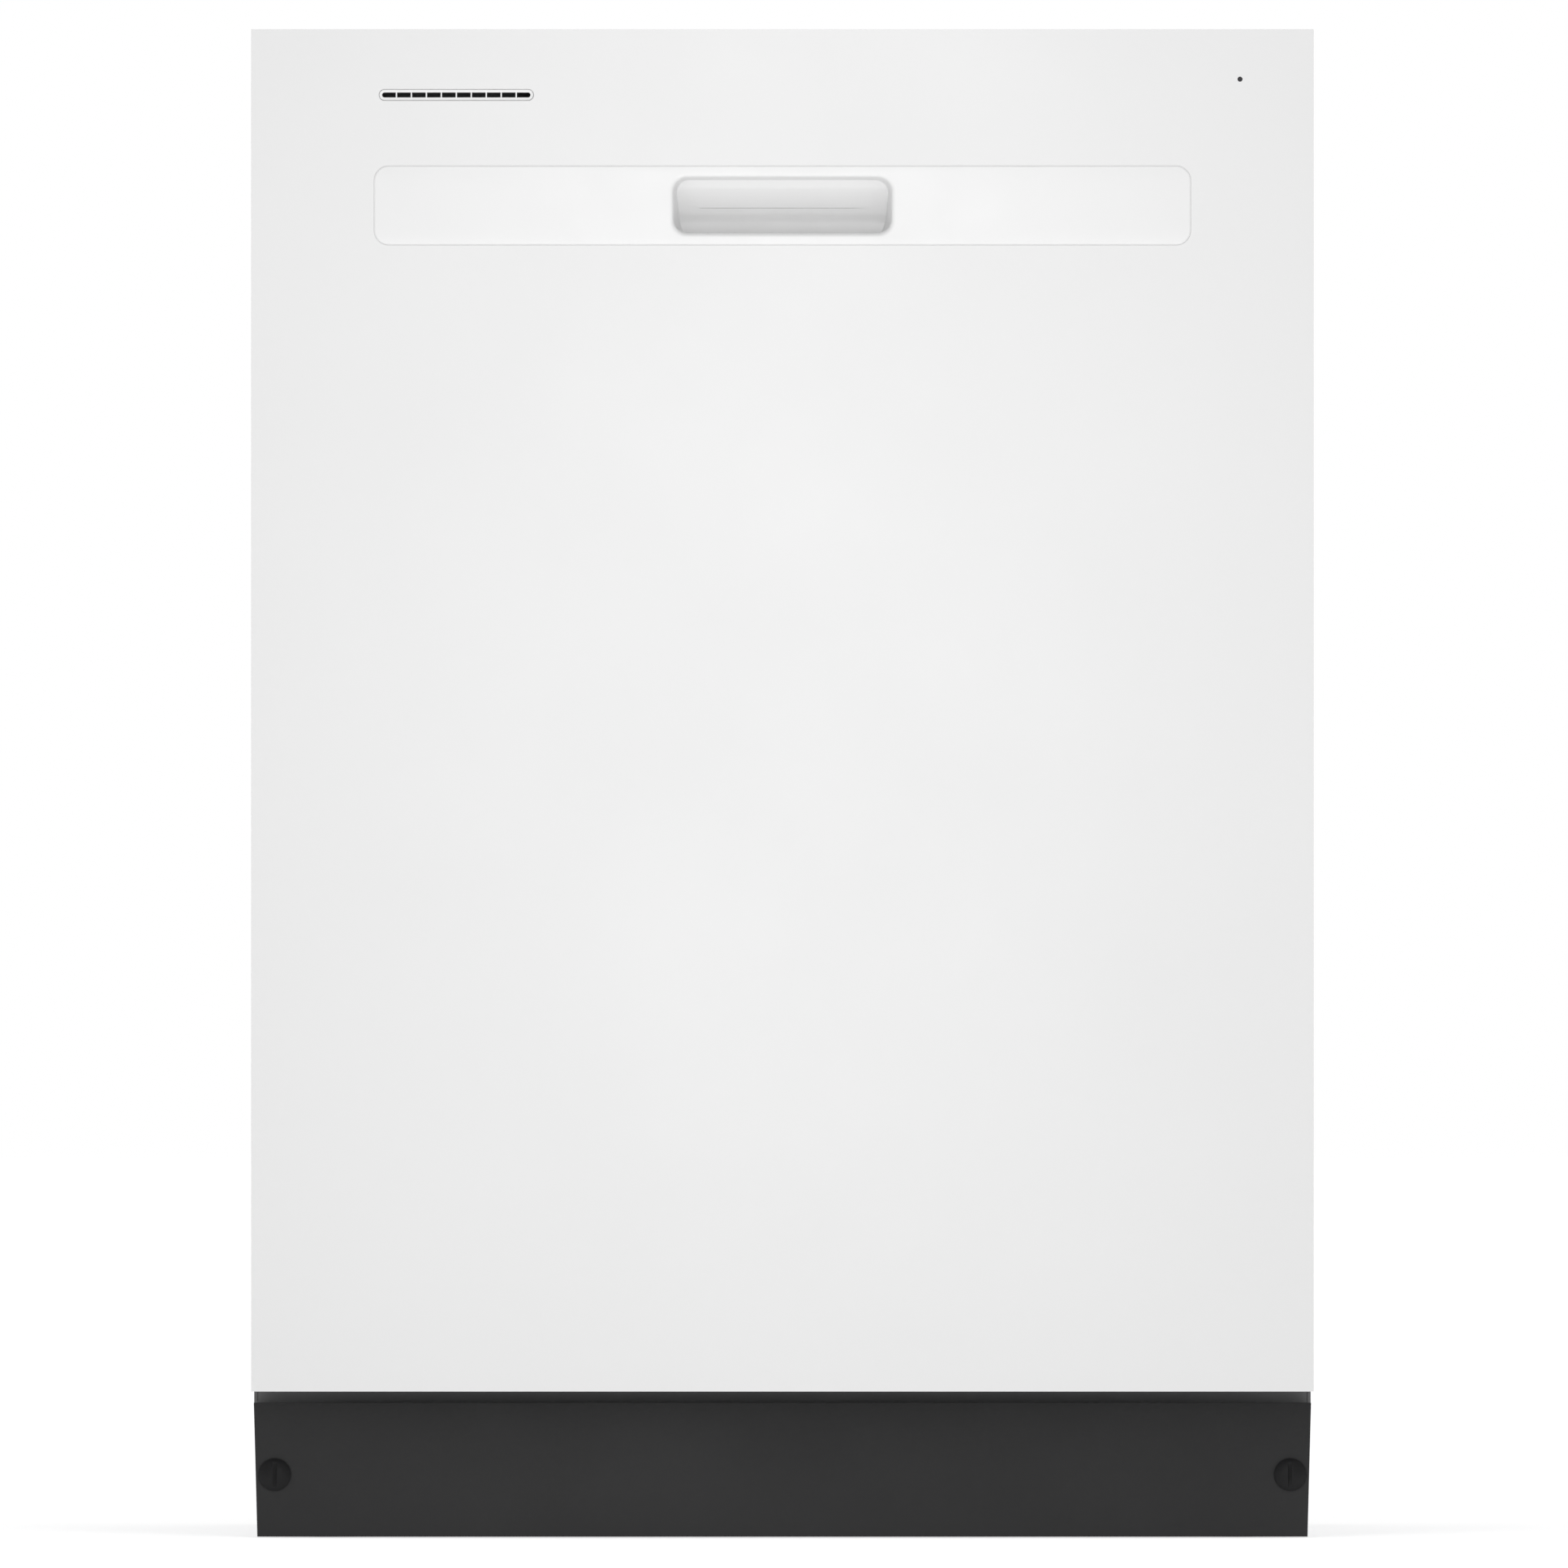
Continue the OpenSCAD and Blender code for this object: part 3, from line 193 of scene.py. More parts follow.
def brushed(name, colour, roughness, stretch=(4, 4, 160), lines=9.0, **sockets):
    m = Shade(name, colour, roughness, 1.0, **sockets)
    grain = m.noise(lines, 6, stretch)
    m.bump(grain, 0.10, 0.0002)
    m.vary_roughness(grain, roughness - 0.09, roughness + 0.09)
    m.vary_colour(m.noise(lines * 2, 3, stretch), 0.88, 1.08)
    return m


def galvanised(name, colour):
    m = Shade(name, colour, 0.42, 1.0)
    spangle = m.cells(130)
    m.vary_colour(spangle.outputs["Color"], 0.80, 1.10, 0.1, 0.9)
    m.vary_roughness(m.noise(60, 3), 0.34, 0.52)
    m.bump(spangle.outputs["Distance"], 0.05, 0.0003)
    return m


def rubber(name, colour):
    m = Shade(name, colour, 0.72)
    m.bump(m.noise(900, 3), 0.2, 0.0002)
    m.vary_roughness(m.noise(40, 3), 0.62, 0.82)
    m.vary_colour(m.noise(30, 5), 0.85, 1.35)
    return m


def fibre_pad(name, colour):
    m = Shade(name, colour, 0.95, Sheen_Weight=0.4, Sheen_Roughness=0.6)
    fibres = m.noise(260, 8, (1, 1, 2.4), 1.4)
    m.bump(fibres, 0.9, 0.0012)
    m.vary_colour(fibres, 0.55, 1.7, 0.35, 0.68)
    return m


def circuit(name, colour):
    m = Shade(name, colour, 0.35)
    traces = m.add("ShaderNodeTexBrick")
    traces.inputs["Scale"].default_value = 130
    traces.inputs["Color1"].default_value = (*colour, 1)
    traces.inputs["Color2"].default_value = (*[c * 1.5 for c in colour], 1)
    traces.inputs["Mortar"].default_value = (0.08, 0.36, 0.16, 1)
    traces.inputs["Mortar Size"].default_value = 0.04
    m.link(m.coords, traces.inputs["Vector"])
    m.link(traces.outputs["Color"], m.shader.inputs["Base Color"])
    m.bump(m.noise(300, 2), 0.1, 0.0002)
    return m


def perforated(name, colour, pitch, radius, axes):
    m = Shade(name, colour, 0.34, 1.0)
    metal = m.holes(pitch, radius, axes)
    # The holes are painted at 6% of the metal's colour: painted shade for the dark seen through them.
    m.vary_colour(metal, 0.06, 1.0, 0.0, 1.0)
    m.bump(metal, 0.8, 0.0006)
    m.vary_roughness(m.noise(70, 4), 0.28, 0.42)
    return m


def painted_pocket_shade(m):
    """Painted shade: the plastic's colour is a little darker deep in the handle's pocket, where shade falls.
    """
    split = m.add("ShaderNodeSeparateXYZ")
    m.link(m.coords, split.inputs["Vector"])
    pocket_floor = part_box("handle_insert")[0][1] + 24.4 * MM
    fade = 1.2 * MM
    # painted shade: the colour falls to 93% over the 1.2 mm in front of the pocket's floor
    depth = m.between(split.outputs["Y"], 1.0, 0.93, pocket_floor - fade, pocket_floor)
    dark = m.add("ShaderNodeMix", data_type="RGBA", blend_type="MULTIPLY")
    dark.inputs["Factor"].default_value = 1.0
    plain = m.shader.inputs["Base Color"].links[0].from_socket
    m.link(plain, dark.inputs["A"])
    m.link(depth, dark.inputs["B"])
    m.link(dark.outputs["Result"], m.shader.inputs["Base Color"])


def make_materials():
    made = {
        "door_paint": painted("door_paint", (0.70, 0.70, 0.70), 0.42, 0.05),
        "white_plastic": moulded("white_plastic", (0.735, 0.735, 0.735), 0.42, 1500, 0.04, 0.004),
        "grey_plastic": moulded("grey_plastic", (0.20, 0.205, 0.215), 0.5),
        "tub_plastic": moulded("tub_plastic", (0.42, 0.43, 0.45), 0.42, 1400, 0.14, 0.05),
        "dark_plastic": moulded("dark_plastic", (0.022, 0.022, 0.024), 0.48, 1600, 0.16, 0.12),
        "kick_paint": painted("kick_paint", (0.0115, 0.0115, 0.012), 0.6, 0.35, Specular_IOR_Level=0.35),
        "lens": Shade("lens", (0.02, 0.02, 0.024), 0.12, Coat_Weight=0.6),
        "board": circuit("board", (0.012, 0.12, 0.05)),
        "galvanised": galvanised("galvanised", (0.56, 0.57, 0.58)),
        "stainless": brushed("stainless", (0.62, 0.62, 0.61), 0.3),
        "spring_steel": brushed("spring_steel", (0.40, 0.40, 0.40), 0.36, (30, 160, 30), 4.0),
        "heater_sheath": brushed("heater_sheath", (0.30, 0.285, 0.265), 0.42, (40, 40, 40), 5.0),
        "seal_rubber": rubber("seal_rubber", (0.030, 0.030, 0.032)),
        "hose_rubber": rubber("hose_rubber", (0.075, 0.075, 0.08)),
        "wool": fibre_pad("wool", (0.055, 0.055, 0.057)),
        "rack_coating": moulded("rack_coating", (0.30, 0.31, 0.335), 0.36, 700, 0.14, 0.06),
        "valve_plastic": moulded("valve_plastic", (0.035, 0.11, 0.28), 0.35),
        "roller_plastic": moulded("roller_plastic", (0.78, 0.78, 0.75), 0.35),
    }
    painted_pocket_shade(made["white_plastic"])
    lens = made["lens"]
    lens.bump(lens.noise(300, 2), 0.05, 0.0002)
    lens.vary_colour(lens.noise(800, 2), 0.8, 1.2)
    return {slot: shade.mat for slot, shade in made.items()}


MATERIALS = make_materials()


# ------------------------------------------------------------------ mesh tools

def rounded(points, radius, steps=5, closed=False):
    """The polyline with each corner turned on an arc."""
    pts = [Vector(p) for p in points]
    out = []
    count = len(pts)
    for i, p in enumerate(pts):
        if not closed and i in (0, count - 1):
            out.append(p)
            continue
        a, b = pts[i - 1], pts[(i + 1) % count]
        to_a, to_b = (a - p), (b - p)
        cut = min(radius, to_a.length * 0.48, to_b.length * 0.48)
        start, end = p + to_a.normalized() * cut, p + to_b.normalized() * cut
        for k in range(steps + 1):
            t = k / steps
            out.append(start * (1 - t) ** 2 + p * 2 * t * (1 - t) + end * t ** 2)
    return out


def frames(path, closed):
    """A side vector and an up vector at each point, carried along without twist."""
    count = len(path)
    tangents = []
    for i in range(count):
        ahead = path[(i + 1) % count] if closed or i < count - 1 else path[i]
        behind = path[i - 1] if closed or i > 0 else path[i]
        tangents.append((ahead - behind).normalized())
    side = tangents[0].orthogonal().normalized()
    result = []
    for tangent in tangents:
        side = (side - tangent * side.dot(tangent)).normalized()
        result.append((side.copy(), tangent.cross(side)))
    return result


def place(data, name):
    """Puts new data into the scene as an object."""
    obj = bpy.data.objects.new(name, data)
    bpy.context.scene.collection.objects.link(obj)
    return obj


class Build:
    """Collects the shells of one piece and turns them into one object."""

    def __init__(self):
        self.verts = []
        self.faces = []

    def shell(self, verts, faces):
        base = len(self.verts)
        self.verts += [Vector(v) for v in verts]
        self.faces += [tuple(base + i for i in face) for face in faces]

    def tube(self, path, radius, sides=10, closed=False, domed=True):
        """A round wire along the path, with domed ends."""
        path = [Vector(p) for p in path]
        rings = []
        for p, (side, up) in zip(path, frames(path, closed)):
            rings.append([p + (side * math.cos(a) + up * math.sin(a)) * radius
                          for a in (2 * math.pi * k / sides for k in range(sides))])
        if not closed and domed:
            first, last = (path[0] - path[1]).normalized(), (path[-1] - path[-2]).normalized()
            for where, way, end in ((0, first, path[0]), (len(rings), last, path[-1])):
                source = rings[0] if where == 0 else rings[-1]
                cap = [end + (v - end) * 0.6 + way * radius * 0.7 for v in source]
                rings.insert(where, cap)
        self.loft(rings, closed)

    def loft(self, rings, closed=False, capped=True):
        """A skin over rings that all have the same number of points."""
        sides = len(rings[0])
        verts = [v for ring in rings for v in ring]
        faces = []
        for i in range(len(rings) if closed else len(rings) - 1):
            j = (i + 1) % len(rings)
            for k in range(sides):
                n = (k + 1) % sides
                faces.append((i * sides + k, i * sides + n, j * sides + n, j * sides + k))
        if not closed and capped:
            faces.append(tuple(range(sides))[::-1])
            faces.append(tuple((len(rings) - 1) * sides + k for k in range(sides)))
        self.shell(verts, faces)

    def box(self, lo, hi, round_by=0.0006, segments=2):
        """A block between two corners, with rounded edges."""
        bm = bmesh.new()
        bmesh.ops.create_cube(bm, size=1)
        size, mid = Vector(hi) - Vector(lo), (Vector(hi) + Vector(lo)) / 2
        for v in bm.verts:
            v.co = Vector(c * s for c, s in zip(v.co, size)) + mid
        width = min(round_by, min(size) * 0.45)
        bmesh.ops.bevel(bm, geom=bm.edges[:], offset=width, segments=segments, profile=0.5, affect="EDGES")
        bm.verts.index_update()
        self.shell([v.co for v in bm.verts], [[v.index for v in f.verts] for f in bm.faces])
        bm.free()

    def turned(self, centre, axis, profile, sides=48):
        """A solid of revolution: profile is (distance along the axis, radius)."""
        axis = Vector(axis).normalized()
        side = axis.orthogonal().normalized()
        up = axis.cross(side)
        rings = [[Vector(centre) + axis * along + (side * math.cos(a) + up * math.sin(a)) * max(r, 1e-5)
                  for a in (2 * math.pi * k / sides for k in range(sides))] for along, r in profile]
        self.loft(rings)

    def piece(self, name, slot, body, nodes=()):
        return settle(self.object(name), slot, body, nodes)

    def object(self, name):
        mesh = bpy.data.meshes.new(name)
        mesh.from_pydata([tuple(v) for v in self.verts], [], self.faces)
        tidy_normals(mesh)
        return place(mesh, name)


def tidy_normals(mesh):
    bm = bmesh.new()
    bm.from_mesh(mesh)
    bmesh.ops.recalc_face_normals(bm, faces=bm.faces[:])
    bm.to_mesh(mesh)
    bm.free()
    mesh.shade_smooth()
    mesh.set_sharp_from_angle(angle=SMOOTH_ANGLE)


def apply_modifiers(obj):
    bpy.context.view_layer.update()
    result = bpy.data.meshes.new_from_object(obj.evaluated_get(bpy.context.evaluated_depsgraph_get()))
    obj.modifiers.clear()
    old = obj.data
    obj.data = result
    bpy.data.meshes.remove(old)


def soften(obj, width, segments=2, angle=35):
    """Rounds the edges sharper than the angle."""
    mod = obj.modifiers.new("soft_edges", "BEVEL")
    mod.width = width
    mod.segments = segments
    mod.limit_method = "ANGLE"
    mod.angle_limit = math.radians(angle)
    mod.use_clamp_overlap = True
    mod.miter_outer = "MITER_ARC"
    mod.harden_normals = True
    apply_modifiers(obj)


def repaint(obj, material):
    """Leaves the object with this one material."""
    obj.data.materials.clear()
    obj.data.materials.append(material)


def settle(obj, slot, body, nodes=()):
    """Gives a piece its finish and its body, and hides the CAD nodes that it stands for."""
    repaint(obj, MATERIALS[slot])
    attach(obj, body)
    if nodes:
        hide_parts(*nodes)
        replaced.update(nodes)
    return obj


def area_and_volume(mesh):
    bm = bmesh.new()
    bm.from_mesh(mesh)
    result = sum(f.calc_area() for f in bm.faces), abs(bm.calc_volume())
    bm.free()
    return result


AREA_DRIFT, VOLUME_DRIFT = 0.06, 0.05


def refine(node, width, segments=2):
    """The CAD node's own shape with its edges rounded, by less where its walls are too thin."""
    clean = frame["nodes"][node].data.copy()
    bm = bmesh.new()
    bm.from_mesh(clean)
    bmesh.ops.remove_doubles(bm, verts=bm.verts[:], dist=2e-6)
    bmesh.ops.dissolve_limit(bm, angle_limit=math.radians(0.6), verts=bm.verts[:], edges=bm.edges[:])
    bm.to_mesh(clean)
    bm.free()
    tidy_normals(clean)
    area, volume = area_and_volume(clean)
    obj = place(clean, "looks_" + node)
    for share in (1.0, 0.6, 0.35, 0.2):
        obj.data = clean.copy()
        soften(obj, width * share, segments)
        new_area, new_volume = area_and_volume(obj.data)
        if abs(new_area / area - 1) < AREA_DRIFT and abs(new_volume / volume - 1) < VOLUME_DRIFT:
            break
    else:
        obj.data = clean.copy()
    return settle(obj, NODE_SLOT[node], NODE_BODY[node], [node])


# ------------------------------------------------------------------ handle insert

INSERT_HALF = (0.2325, 0.0222)
INSERT_CORNER = 0.008
FLANGE = 0.005
INSERT_SKIN = 0.0016
POCKET_HALF = (0.0645, 0.0183)
POCKET_CORNER = 0.009


def round_rect_loop(half, corner, per_side=14, per_corner=8):
    """Points round a rounded rectangle, the same number for every size."""
    hx, hz = half
    r = max(min(corner, hx, hz), 1e-5)
    loop = []
    corners = [(hx - r, hz - r, 0), (r - hx, hz - r, 90), (r - hx, r - hz, 180), (hx - r, r - hz, 270)]
    for i, (cx, cz, start) in enumerate(corners):
        for k in range(per_corner + 1):
            a = math.radians(start + 90 * k / per_corner)
            loop.append((cx + r * math.cos(a), cz + r * math.sin(a)))
        nx, nz, next_start = corners[(i + 1) % 4]
        a = math.radians(next_start)
        end = (nx + r * math.cos(a), nz + r * math.sin(a))
        begin = loop[-1]
        for k in range(1, per_side):
            t = k / per_side
            loop.append((begin[0] + (end[0] - begin[0]) * t, begin[1] + (end[1] - begin[1]) * t))
    return loop


def blend_steps(points, at):
    """Linear interpolation in a table of (place, value)."""
    for (a, va), (b, vb) in zip(points, points[1:]):
        if at <= b:
            t = max(0.0, (at - a) / (b - a))
            return va + (vb - va) * t
    return points[-1][1]


# The pocket's back: (height above its middle, depth behind the face), in mm
POCKET_BACK = [(-19, 25.4), (-7.2, 25.6), (-4.4, 23.3), (0, 20.2),
               (5, 16.6), (10, 13.0), (15, 10.6), (19, 9.9)]
# Rings from the pocket's mouth inwards, in mm, close together where its wall turns into its back
POCKET_INSETS = [0, 0.3, 0.7, 1.1, 1.6, 2.1, 2.6, 3.0, 3.3, 3.6, 3.8, 4.0, 4.2, 4.4, 4.6, 4.8, 5.0, 5.2, 5.4,
                 5.6, 5.8, 6.1, 6.5, 7.1, 7.8, 8.6, 9.5, 10.4, 11.4, 12.3, 12.95, 13.3, 13.7, 14.4, 15.4,
                 16.4, 17.4]
# Below this height the lower wall hooks down behind the lip, by this much
GRIP_EDGE = -0.0052
GRIP_DROP = 0.0095


def pocket_depth(inset, z):
    """Depth behind the face: a rounded lip, a steep wall, and a back wall that falls away downwards."""
    lip = 2.2 * MM
    steepness = 7
    if inset < lip:
        wall = lip - math.sqrt(max(0.0, lip ** 2 - inset ** 2))
    else:
        wall = lip + (inset - lip) * steepness
    back = blend_steps([(at * MM, depth * MM) for at, depth in POCKET_BACK], z)
    soft = 3.0 * MM
    gap = max(0.0, soft - abs(wall - back)) / soft
    return min(wall, back) - gap ** 2 * soft / 4


def grip_drop(depth, z):
    """How far the lower wall moves down behind the lip, where the fingers hook in."""
    lip_depth, turn = 6.5 * MM, 2.5 * MM
    low = min(1.0, max(0.0, (GRIP_EDGE - z) / (POCKET_HALF[1] + GRIP_EDGE)))
    past_lip = min(1.0, max(0.0, (depth - lip_depth) / turn))
    return GRIP_DROP * low * past_lip ** 2 * (3 - 2 * past_lip)


def grown(half, by):
    return half[0] + by, half[1] + by


def handle_insert():
    """The flush strip with a fine step round it and the finger pocket in its middle."""
    lo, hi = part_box("handle_insert")
    front = lo[1]
    middle = hi[2] - INSERT_HALF[1] - FLANGE
    rings = []

    def ring(loop, depth):
        points = []
        for x, z in loop:
            d = depth(x, z) if callable(depth) else depth
            points.append(Vector((x, front + d, middle + z - grip_drop(d, z))))
        rings.append(points)

    rim = 0.34 * MM
    ledge = 0.42 * MM
    flange_depth = 1.9 * MM
    rim_steps = 4
    ledge_loop = round_rect_loop(grown(INSERT_HALF, ledge), INSERT_CORNER + ledge)
    ring(round_rect_loop(grown(INSERT_HALF, FLANGE), INSERT_CORNER), flange_depth)
    ring(ledge_loop, flange_depth)
    ring(ledge_loop, rim)
    ring(round_rect_loop(INSERT_HALF, INSERT_CORNER), rim + 0.02 * MM)
    for k in range(rim_steps + 1):
        a = math.radians(90 * k / rim_steps)
        inset = rim * (1 - math.cos(a))
        ring(round_rect_loop(grown(INSERT_HALF, -inset), INSERT_CORNER - inset), rim * (1 - math.sin(a)))
    for inset in [i * MM for i in POCKET_INSETS]:
        loop = round_rect_loop(grown(POCKET_HALF, -inset), POCKET_CORNER - inset * 0.4)
        ring(loop, lambda x, z, inset=inset: pocket_depth(inset, z))
    build = Build()
    build.loft(rings, capped=False)
    sides = len(rings[0])
    build.faces.append(tuple(range(len(build.verts) - sides, len(build.verts))))
    obj = build.object("handle_insert_skin")
    faces_back = sum((f.normal[1] * f.area for f in obj.data.polygons), 0.0) > 0
    if faces_back:
        obj.data.flip_normals()
    thick = obj.modifiers.new("wall", "SOLIDIFY")
    thick.thickness = INSERT_SKIN
    thick.offset = -1
    apply_modifiers(obj)
    obj.data.shade_smooth()
    obj.data.set_sharp_from_angle(angle=SMOOTH_ANGLE)
    return settle(obj, "white_plastic", "door", ["handle_insert"])


def vent_grille():
    """Pill-shaped surround with a lip, and the thin ribs between its slots."""
    lo, hi = (Vector(v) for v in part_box("vent_grille"))
    mid = (lo + hi) / 2
    front = lo[1]
    half_w, half_h = 0.044, 0.0031
    field_w, field_h = 0.0423, 0.0014
    slots, rib = 10, 0.8 * MM
    outline, field, flange = (half_w, half_h), (field_w, field_h), 4.5 * MM
    build = Build()
    # (half size, depth behind the face in mm) round the surround's section
    profile = [(grown(outline, flange), 0.9), (grown(outline, flange), 2.6),
               (grown(field, 0.1 * MM), 2.6), (field, 0.45), (grown(field, 0.15 * MM), 0.25),
               (grown(outline, -0.35 * MM), 0.0), (grown(outline, -0.1 * MM), 0.2), (outline, 0.9)]
    rings = []
    for half, depth in profile:
        loop = round_rect_loop(half, half[1], 10, 8)
        rings.append([Vector((mid[0] + x, front + depth * MM, mid[2] + z)) for x, z in loop])
    build.loft(rings, closed=True)
    pitch = (2 * field_w + rib) / slots
    for i in range(1, slots):
        x = mid[0] - field_w + i * pitch - rib
        build.box((x, front + 0.35 * MM, mid[2] - field_h - 0.4 * MM),
                  (x + rib, front + 2.4 * MM, mid[2] + field_h + 0.4 * MM), 0.15 * MM)
    for dz in (-4.25, 4.25):
        build.box((mid[0] - half_w - 2 * MM, front + 2.5 * MM, mid[2] + (dz - 0.75) * MM),
                  (mid[0] + half_w + 2 * MM, hi[1], mid[2] + (dz + 0.75) * MM), 0.3 * MM)
    for dx in (-half_w - 1 * MM, half_w + 1 * MM):
        build.box((mid[0] + dx - 1 * MM, front + 2.5 * MM, mid[2] - 5 * MM),
                  (mid[0] + dx + 1 * MM, hi[1], mid[2] + 5 * MM), 0.3 * MM)
    return build.piece("vent_grille_slats", "white_plastic", "door", ["vent_grille"])


# ------------------------------------------------------------------ racks

BASKET_HALF = 0.250
UPPER_FLOOR, UPPER_BACK = 0.497, 0.230
LOWER_FLOOR = 0.178


def spread(lo, hi, pitch):
    """Evenly spaced places from lo to hi, about a pitch apart."""
    count = max(1, round((hi - lo) / pitch))
    return [lo + (hi - lo) * i / count for i in range(count + 1)]


def rack_wires(build, lo, hi, rim_r, wire_r, pitch_x, pitch_y, rings=(0.5,)):
    """Rim and hoops, with U-shaped wires both ways under them."""
    x0, y0, z0 = lo
    x1, y1, z1 = hi
    corner = 22 * MM
    top = z1 - rim_r

    def hoop(z, inset, radius):
        loop = [(x0 + inset, y0 + inset, z), (x1 - inset, y0 + inset, z),
                (x1 - inset, y1 - inset, z), (x0 + inset, y1 - inset, z)]
        build.tube(rounded(loop, corner, 6, True), radius, 10, closed=True)

    hoop(top, rim_r, rim_r)
    for share in rings:
        hoop(z0 + (z1 - z0) * share, rim_r + 0.4 * MM, wire_r * 1.15)
    hoop(z0 + 9 * MM, rim_r + 3 * MM, wire_r * 1.15)
    floor = z0 + wire_r
    inset = rim_r + wire_r
    for x in spread(x0 + corner, x1 - corner, pitch_x):
        path = [(x, y0 + inset, top), (x, y0 + inset, floor), (x, y1 - inset, floor), (x, y1 - inset, top)]
        build.tube(rounded(path, 12 * MM), wire_r, 8)
    for y in spread(y0 + corner, y1 - corner, pitch_y):
        path = [(x0 + inset, y, top), (x0 + inset, y, floor + 2 * wire_r),
                (x1 - inset, y, floor + 2 * wire_r), (x1 - inset, y, top)]
        build.tube(rounded(path, 12 * MM), wire_r, 8)


def tine_column(build, x, y_range, z, height, pitch, lean, radius):
    """A rod along Y with bent prongs standing on it."""
    build.tube([(x, y_range[0], z), (x, y_range[1], z)], radius * 1.2, 8)
    for y in spread(y_range[0] + pitch / 3, y_range[1] - pitch / 3, pitch):
        path = [(x, y, z), (x, y, z + height * 0.25), (x + lean, y, z + height)]
        build.tube(rounded(path, 8 * MM, 4), radius, 8)


def rails(build, front, back):
    """The upper rack's two channels round the rollers, each held by two clips on the wires."""
    roller_lo, roller_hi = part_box("rail_rollers_front")
    roller_z = (roller_lo[2] + roller_hi[2]) / 2
    channel = (roller_hi[2] - roller_lo[2]) / 2 + 0.3 * MM
    inner, web_t, lip_reach, flange_t = 0.2625, 0.0015, 0.009, 0.002
    clip_inner = 0.246
    rail_y = (front + 0.004, back + 0.004)
    bottom, top = roller_z - channel - flange_t, roller_z + channel
    for side in (-1, 1):
        web = sorted((side * inner, side * (inner + web_t)))
        build.box((web[0], rail_y[0], bottom), (web[1], rail_y[1], top + flange_t), 0.3 * MM)
        lips = sorted((side * inner, side * (inner + lip_reach)))
        for z in (bottom, top):
            build.box((lips[0], rail_y[0], z), (lips[1], rail_y[1], z + flange_t), 0.5 * MM)
        clip = sorted((side * clip_inner, side * inner))
        for y in (front + 0.030, back - 0.050):
            build.box((clip[0], y, roller_z - 0.014), (clip[1], y + 0.016, roller_z + 0.006), 2 * MM, 3)


def upper_rack():
    """Wire basket with four columns of tines, its rails, and the spray arm's feed pipe."""
    lo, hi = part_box("upper_rack")
    arm_lo, arm_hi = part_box("upper_spray_arm")
    front_low = Vector((-BASKET_HALF, lo[1], UPPER_FLOOR))
    back_high = Vector((BASKET_HALF, UPPER_BACK, hi[2]))
    build = Build()
    rack_wires(build, front_low, back_high, 2.6 * MM, 1.7 * MM, 31 * MM, 42 * MM, (0.42, 0.72))
    floor = UPPER_FLOOR + 6 * MM
    for x, lean in ((-0.158, 0.010), (-0.072, 0.010), (0.072, -0.010), (0.158, -0.010)):
        tine_column(build, x, (-0.215, 0.205), floor, 0.062, 0.030, lean, 1.5 * MM)
    rails(build, front_low[1], back_high[1])
    pipe_z = arm_lo[2] + 0.033
    centre_y = (arm_lo[1] + arm_hi[1]) / 2
    pipe = [(0, y, pipe_z) for y in (centre_y - 0.008, centre_y + 0.03, 0.236)]
    build.tube(pipe, 9 * MM, 28)
    build.turned((0, centre_y, arm_lo[2] - 0.006), (0, 0, 1),
                 [(0, 11 * MM), (0.0008, 13.4 * MM), (0.0054, 13.8 * MM), (0.0057, 9.9 * MM),
                  (0.034, 9.9 * MM), (0.041, 12 * MM), (0.046, 8 * MM)])
    for y in (centre_y + 0.020, 0.200):
        build.box((-0.006, y, pipe_z + 0.004), (0.006, y + 0.012, 0.500), 1.5 * MM, 3)
    return build.piece("upper_rack_wires", "rack_coating", "upper_rack", ["upper_rack"])


def lower_rack():
    """Wire basket with tines behind and beside the cutlery basket, and the wheels' plates and axles."""
    lo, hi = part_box("lower_rack")
    front_lo, front_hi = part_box("lower_wheels_front")
    rear_lo, rear_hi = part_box("lower_wheels_rear")
    cutlery_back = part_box("silverware_basket")[1][1]
    build = Build()
    front_low = Vector((-BASKET_HALF, lo[1], LOWER_FLOOR))
    back_high = Vector((BASKET_HALF, hi[1], hi[2]))
    rack_wires(build, front_low, back_high, 3.0 * MM, 1.9 * MM, 36 * MM, 44 * MM, (0.5,))
    floor = LOWER_FLOOR + 7 * MM
    for x, lean in ((-0.190, 0.006), (-0.135, 0.006), (-0.050, 0.006), (0.050, -0.006),
                    (0.135, -0.006), (0.190, -0.006)):
        tine_column(build, x, (cutlery_back + 0.012, hi[1] - 0.020), floor, 0.085, 0.024, lean, 1.6 * MM)
    for x, lean in ((-0.190, 0.006), (-0.120, 0.006), (-0.050, 0.006)):
        tine_column(build, x, (lo[1] + 0.022, cutlery_back - 0.006), floor, 0.085, 0.024, lean, 1.6 * MM)
    axle_z = (front_lo[2] + front_hi[2]) / 2
    for side in (-1, 1):
        for low, high in ((front_lo, front_hi), (rear_lo, rear_hi)):
            y = (low[1] + high[1]) / 2
            plate = sorted((side * 0.2475, side * 0.2515))
            build.box((plate[0], y - 0.014, axle_z - 0.007), (plate[1], y + 0.014, LOWER_FLOOR + 0.014),
                      1.6 * MM, 3)
            build.turned((side * 0.249, y, axle_z), (side, 0, 0),
                         [(0, 6 * MM), (0.0045, 6 * MM), (0.0052, 2.98 * MM), (0.0186, 2.98 * MM),
                          (0.0190, 4.2 * MM), (0.0202, 3.6 * MM)], 28)
    return build.piece("lower_rack_wires", "rack_coating", "lower_rack", ["lower_rack"])


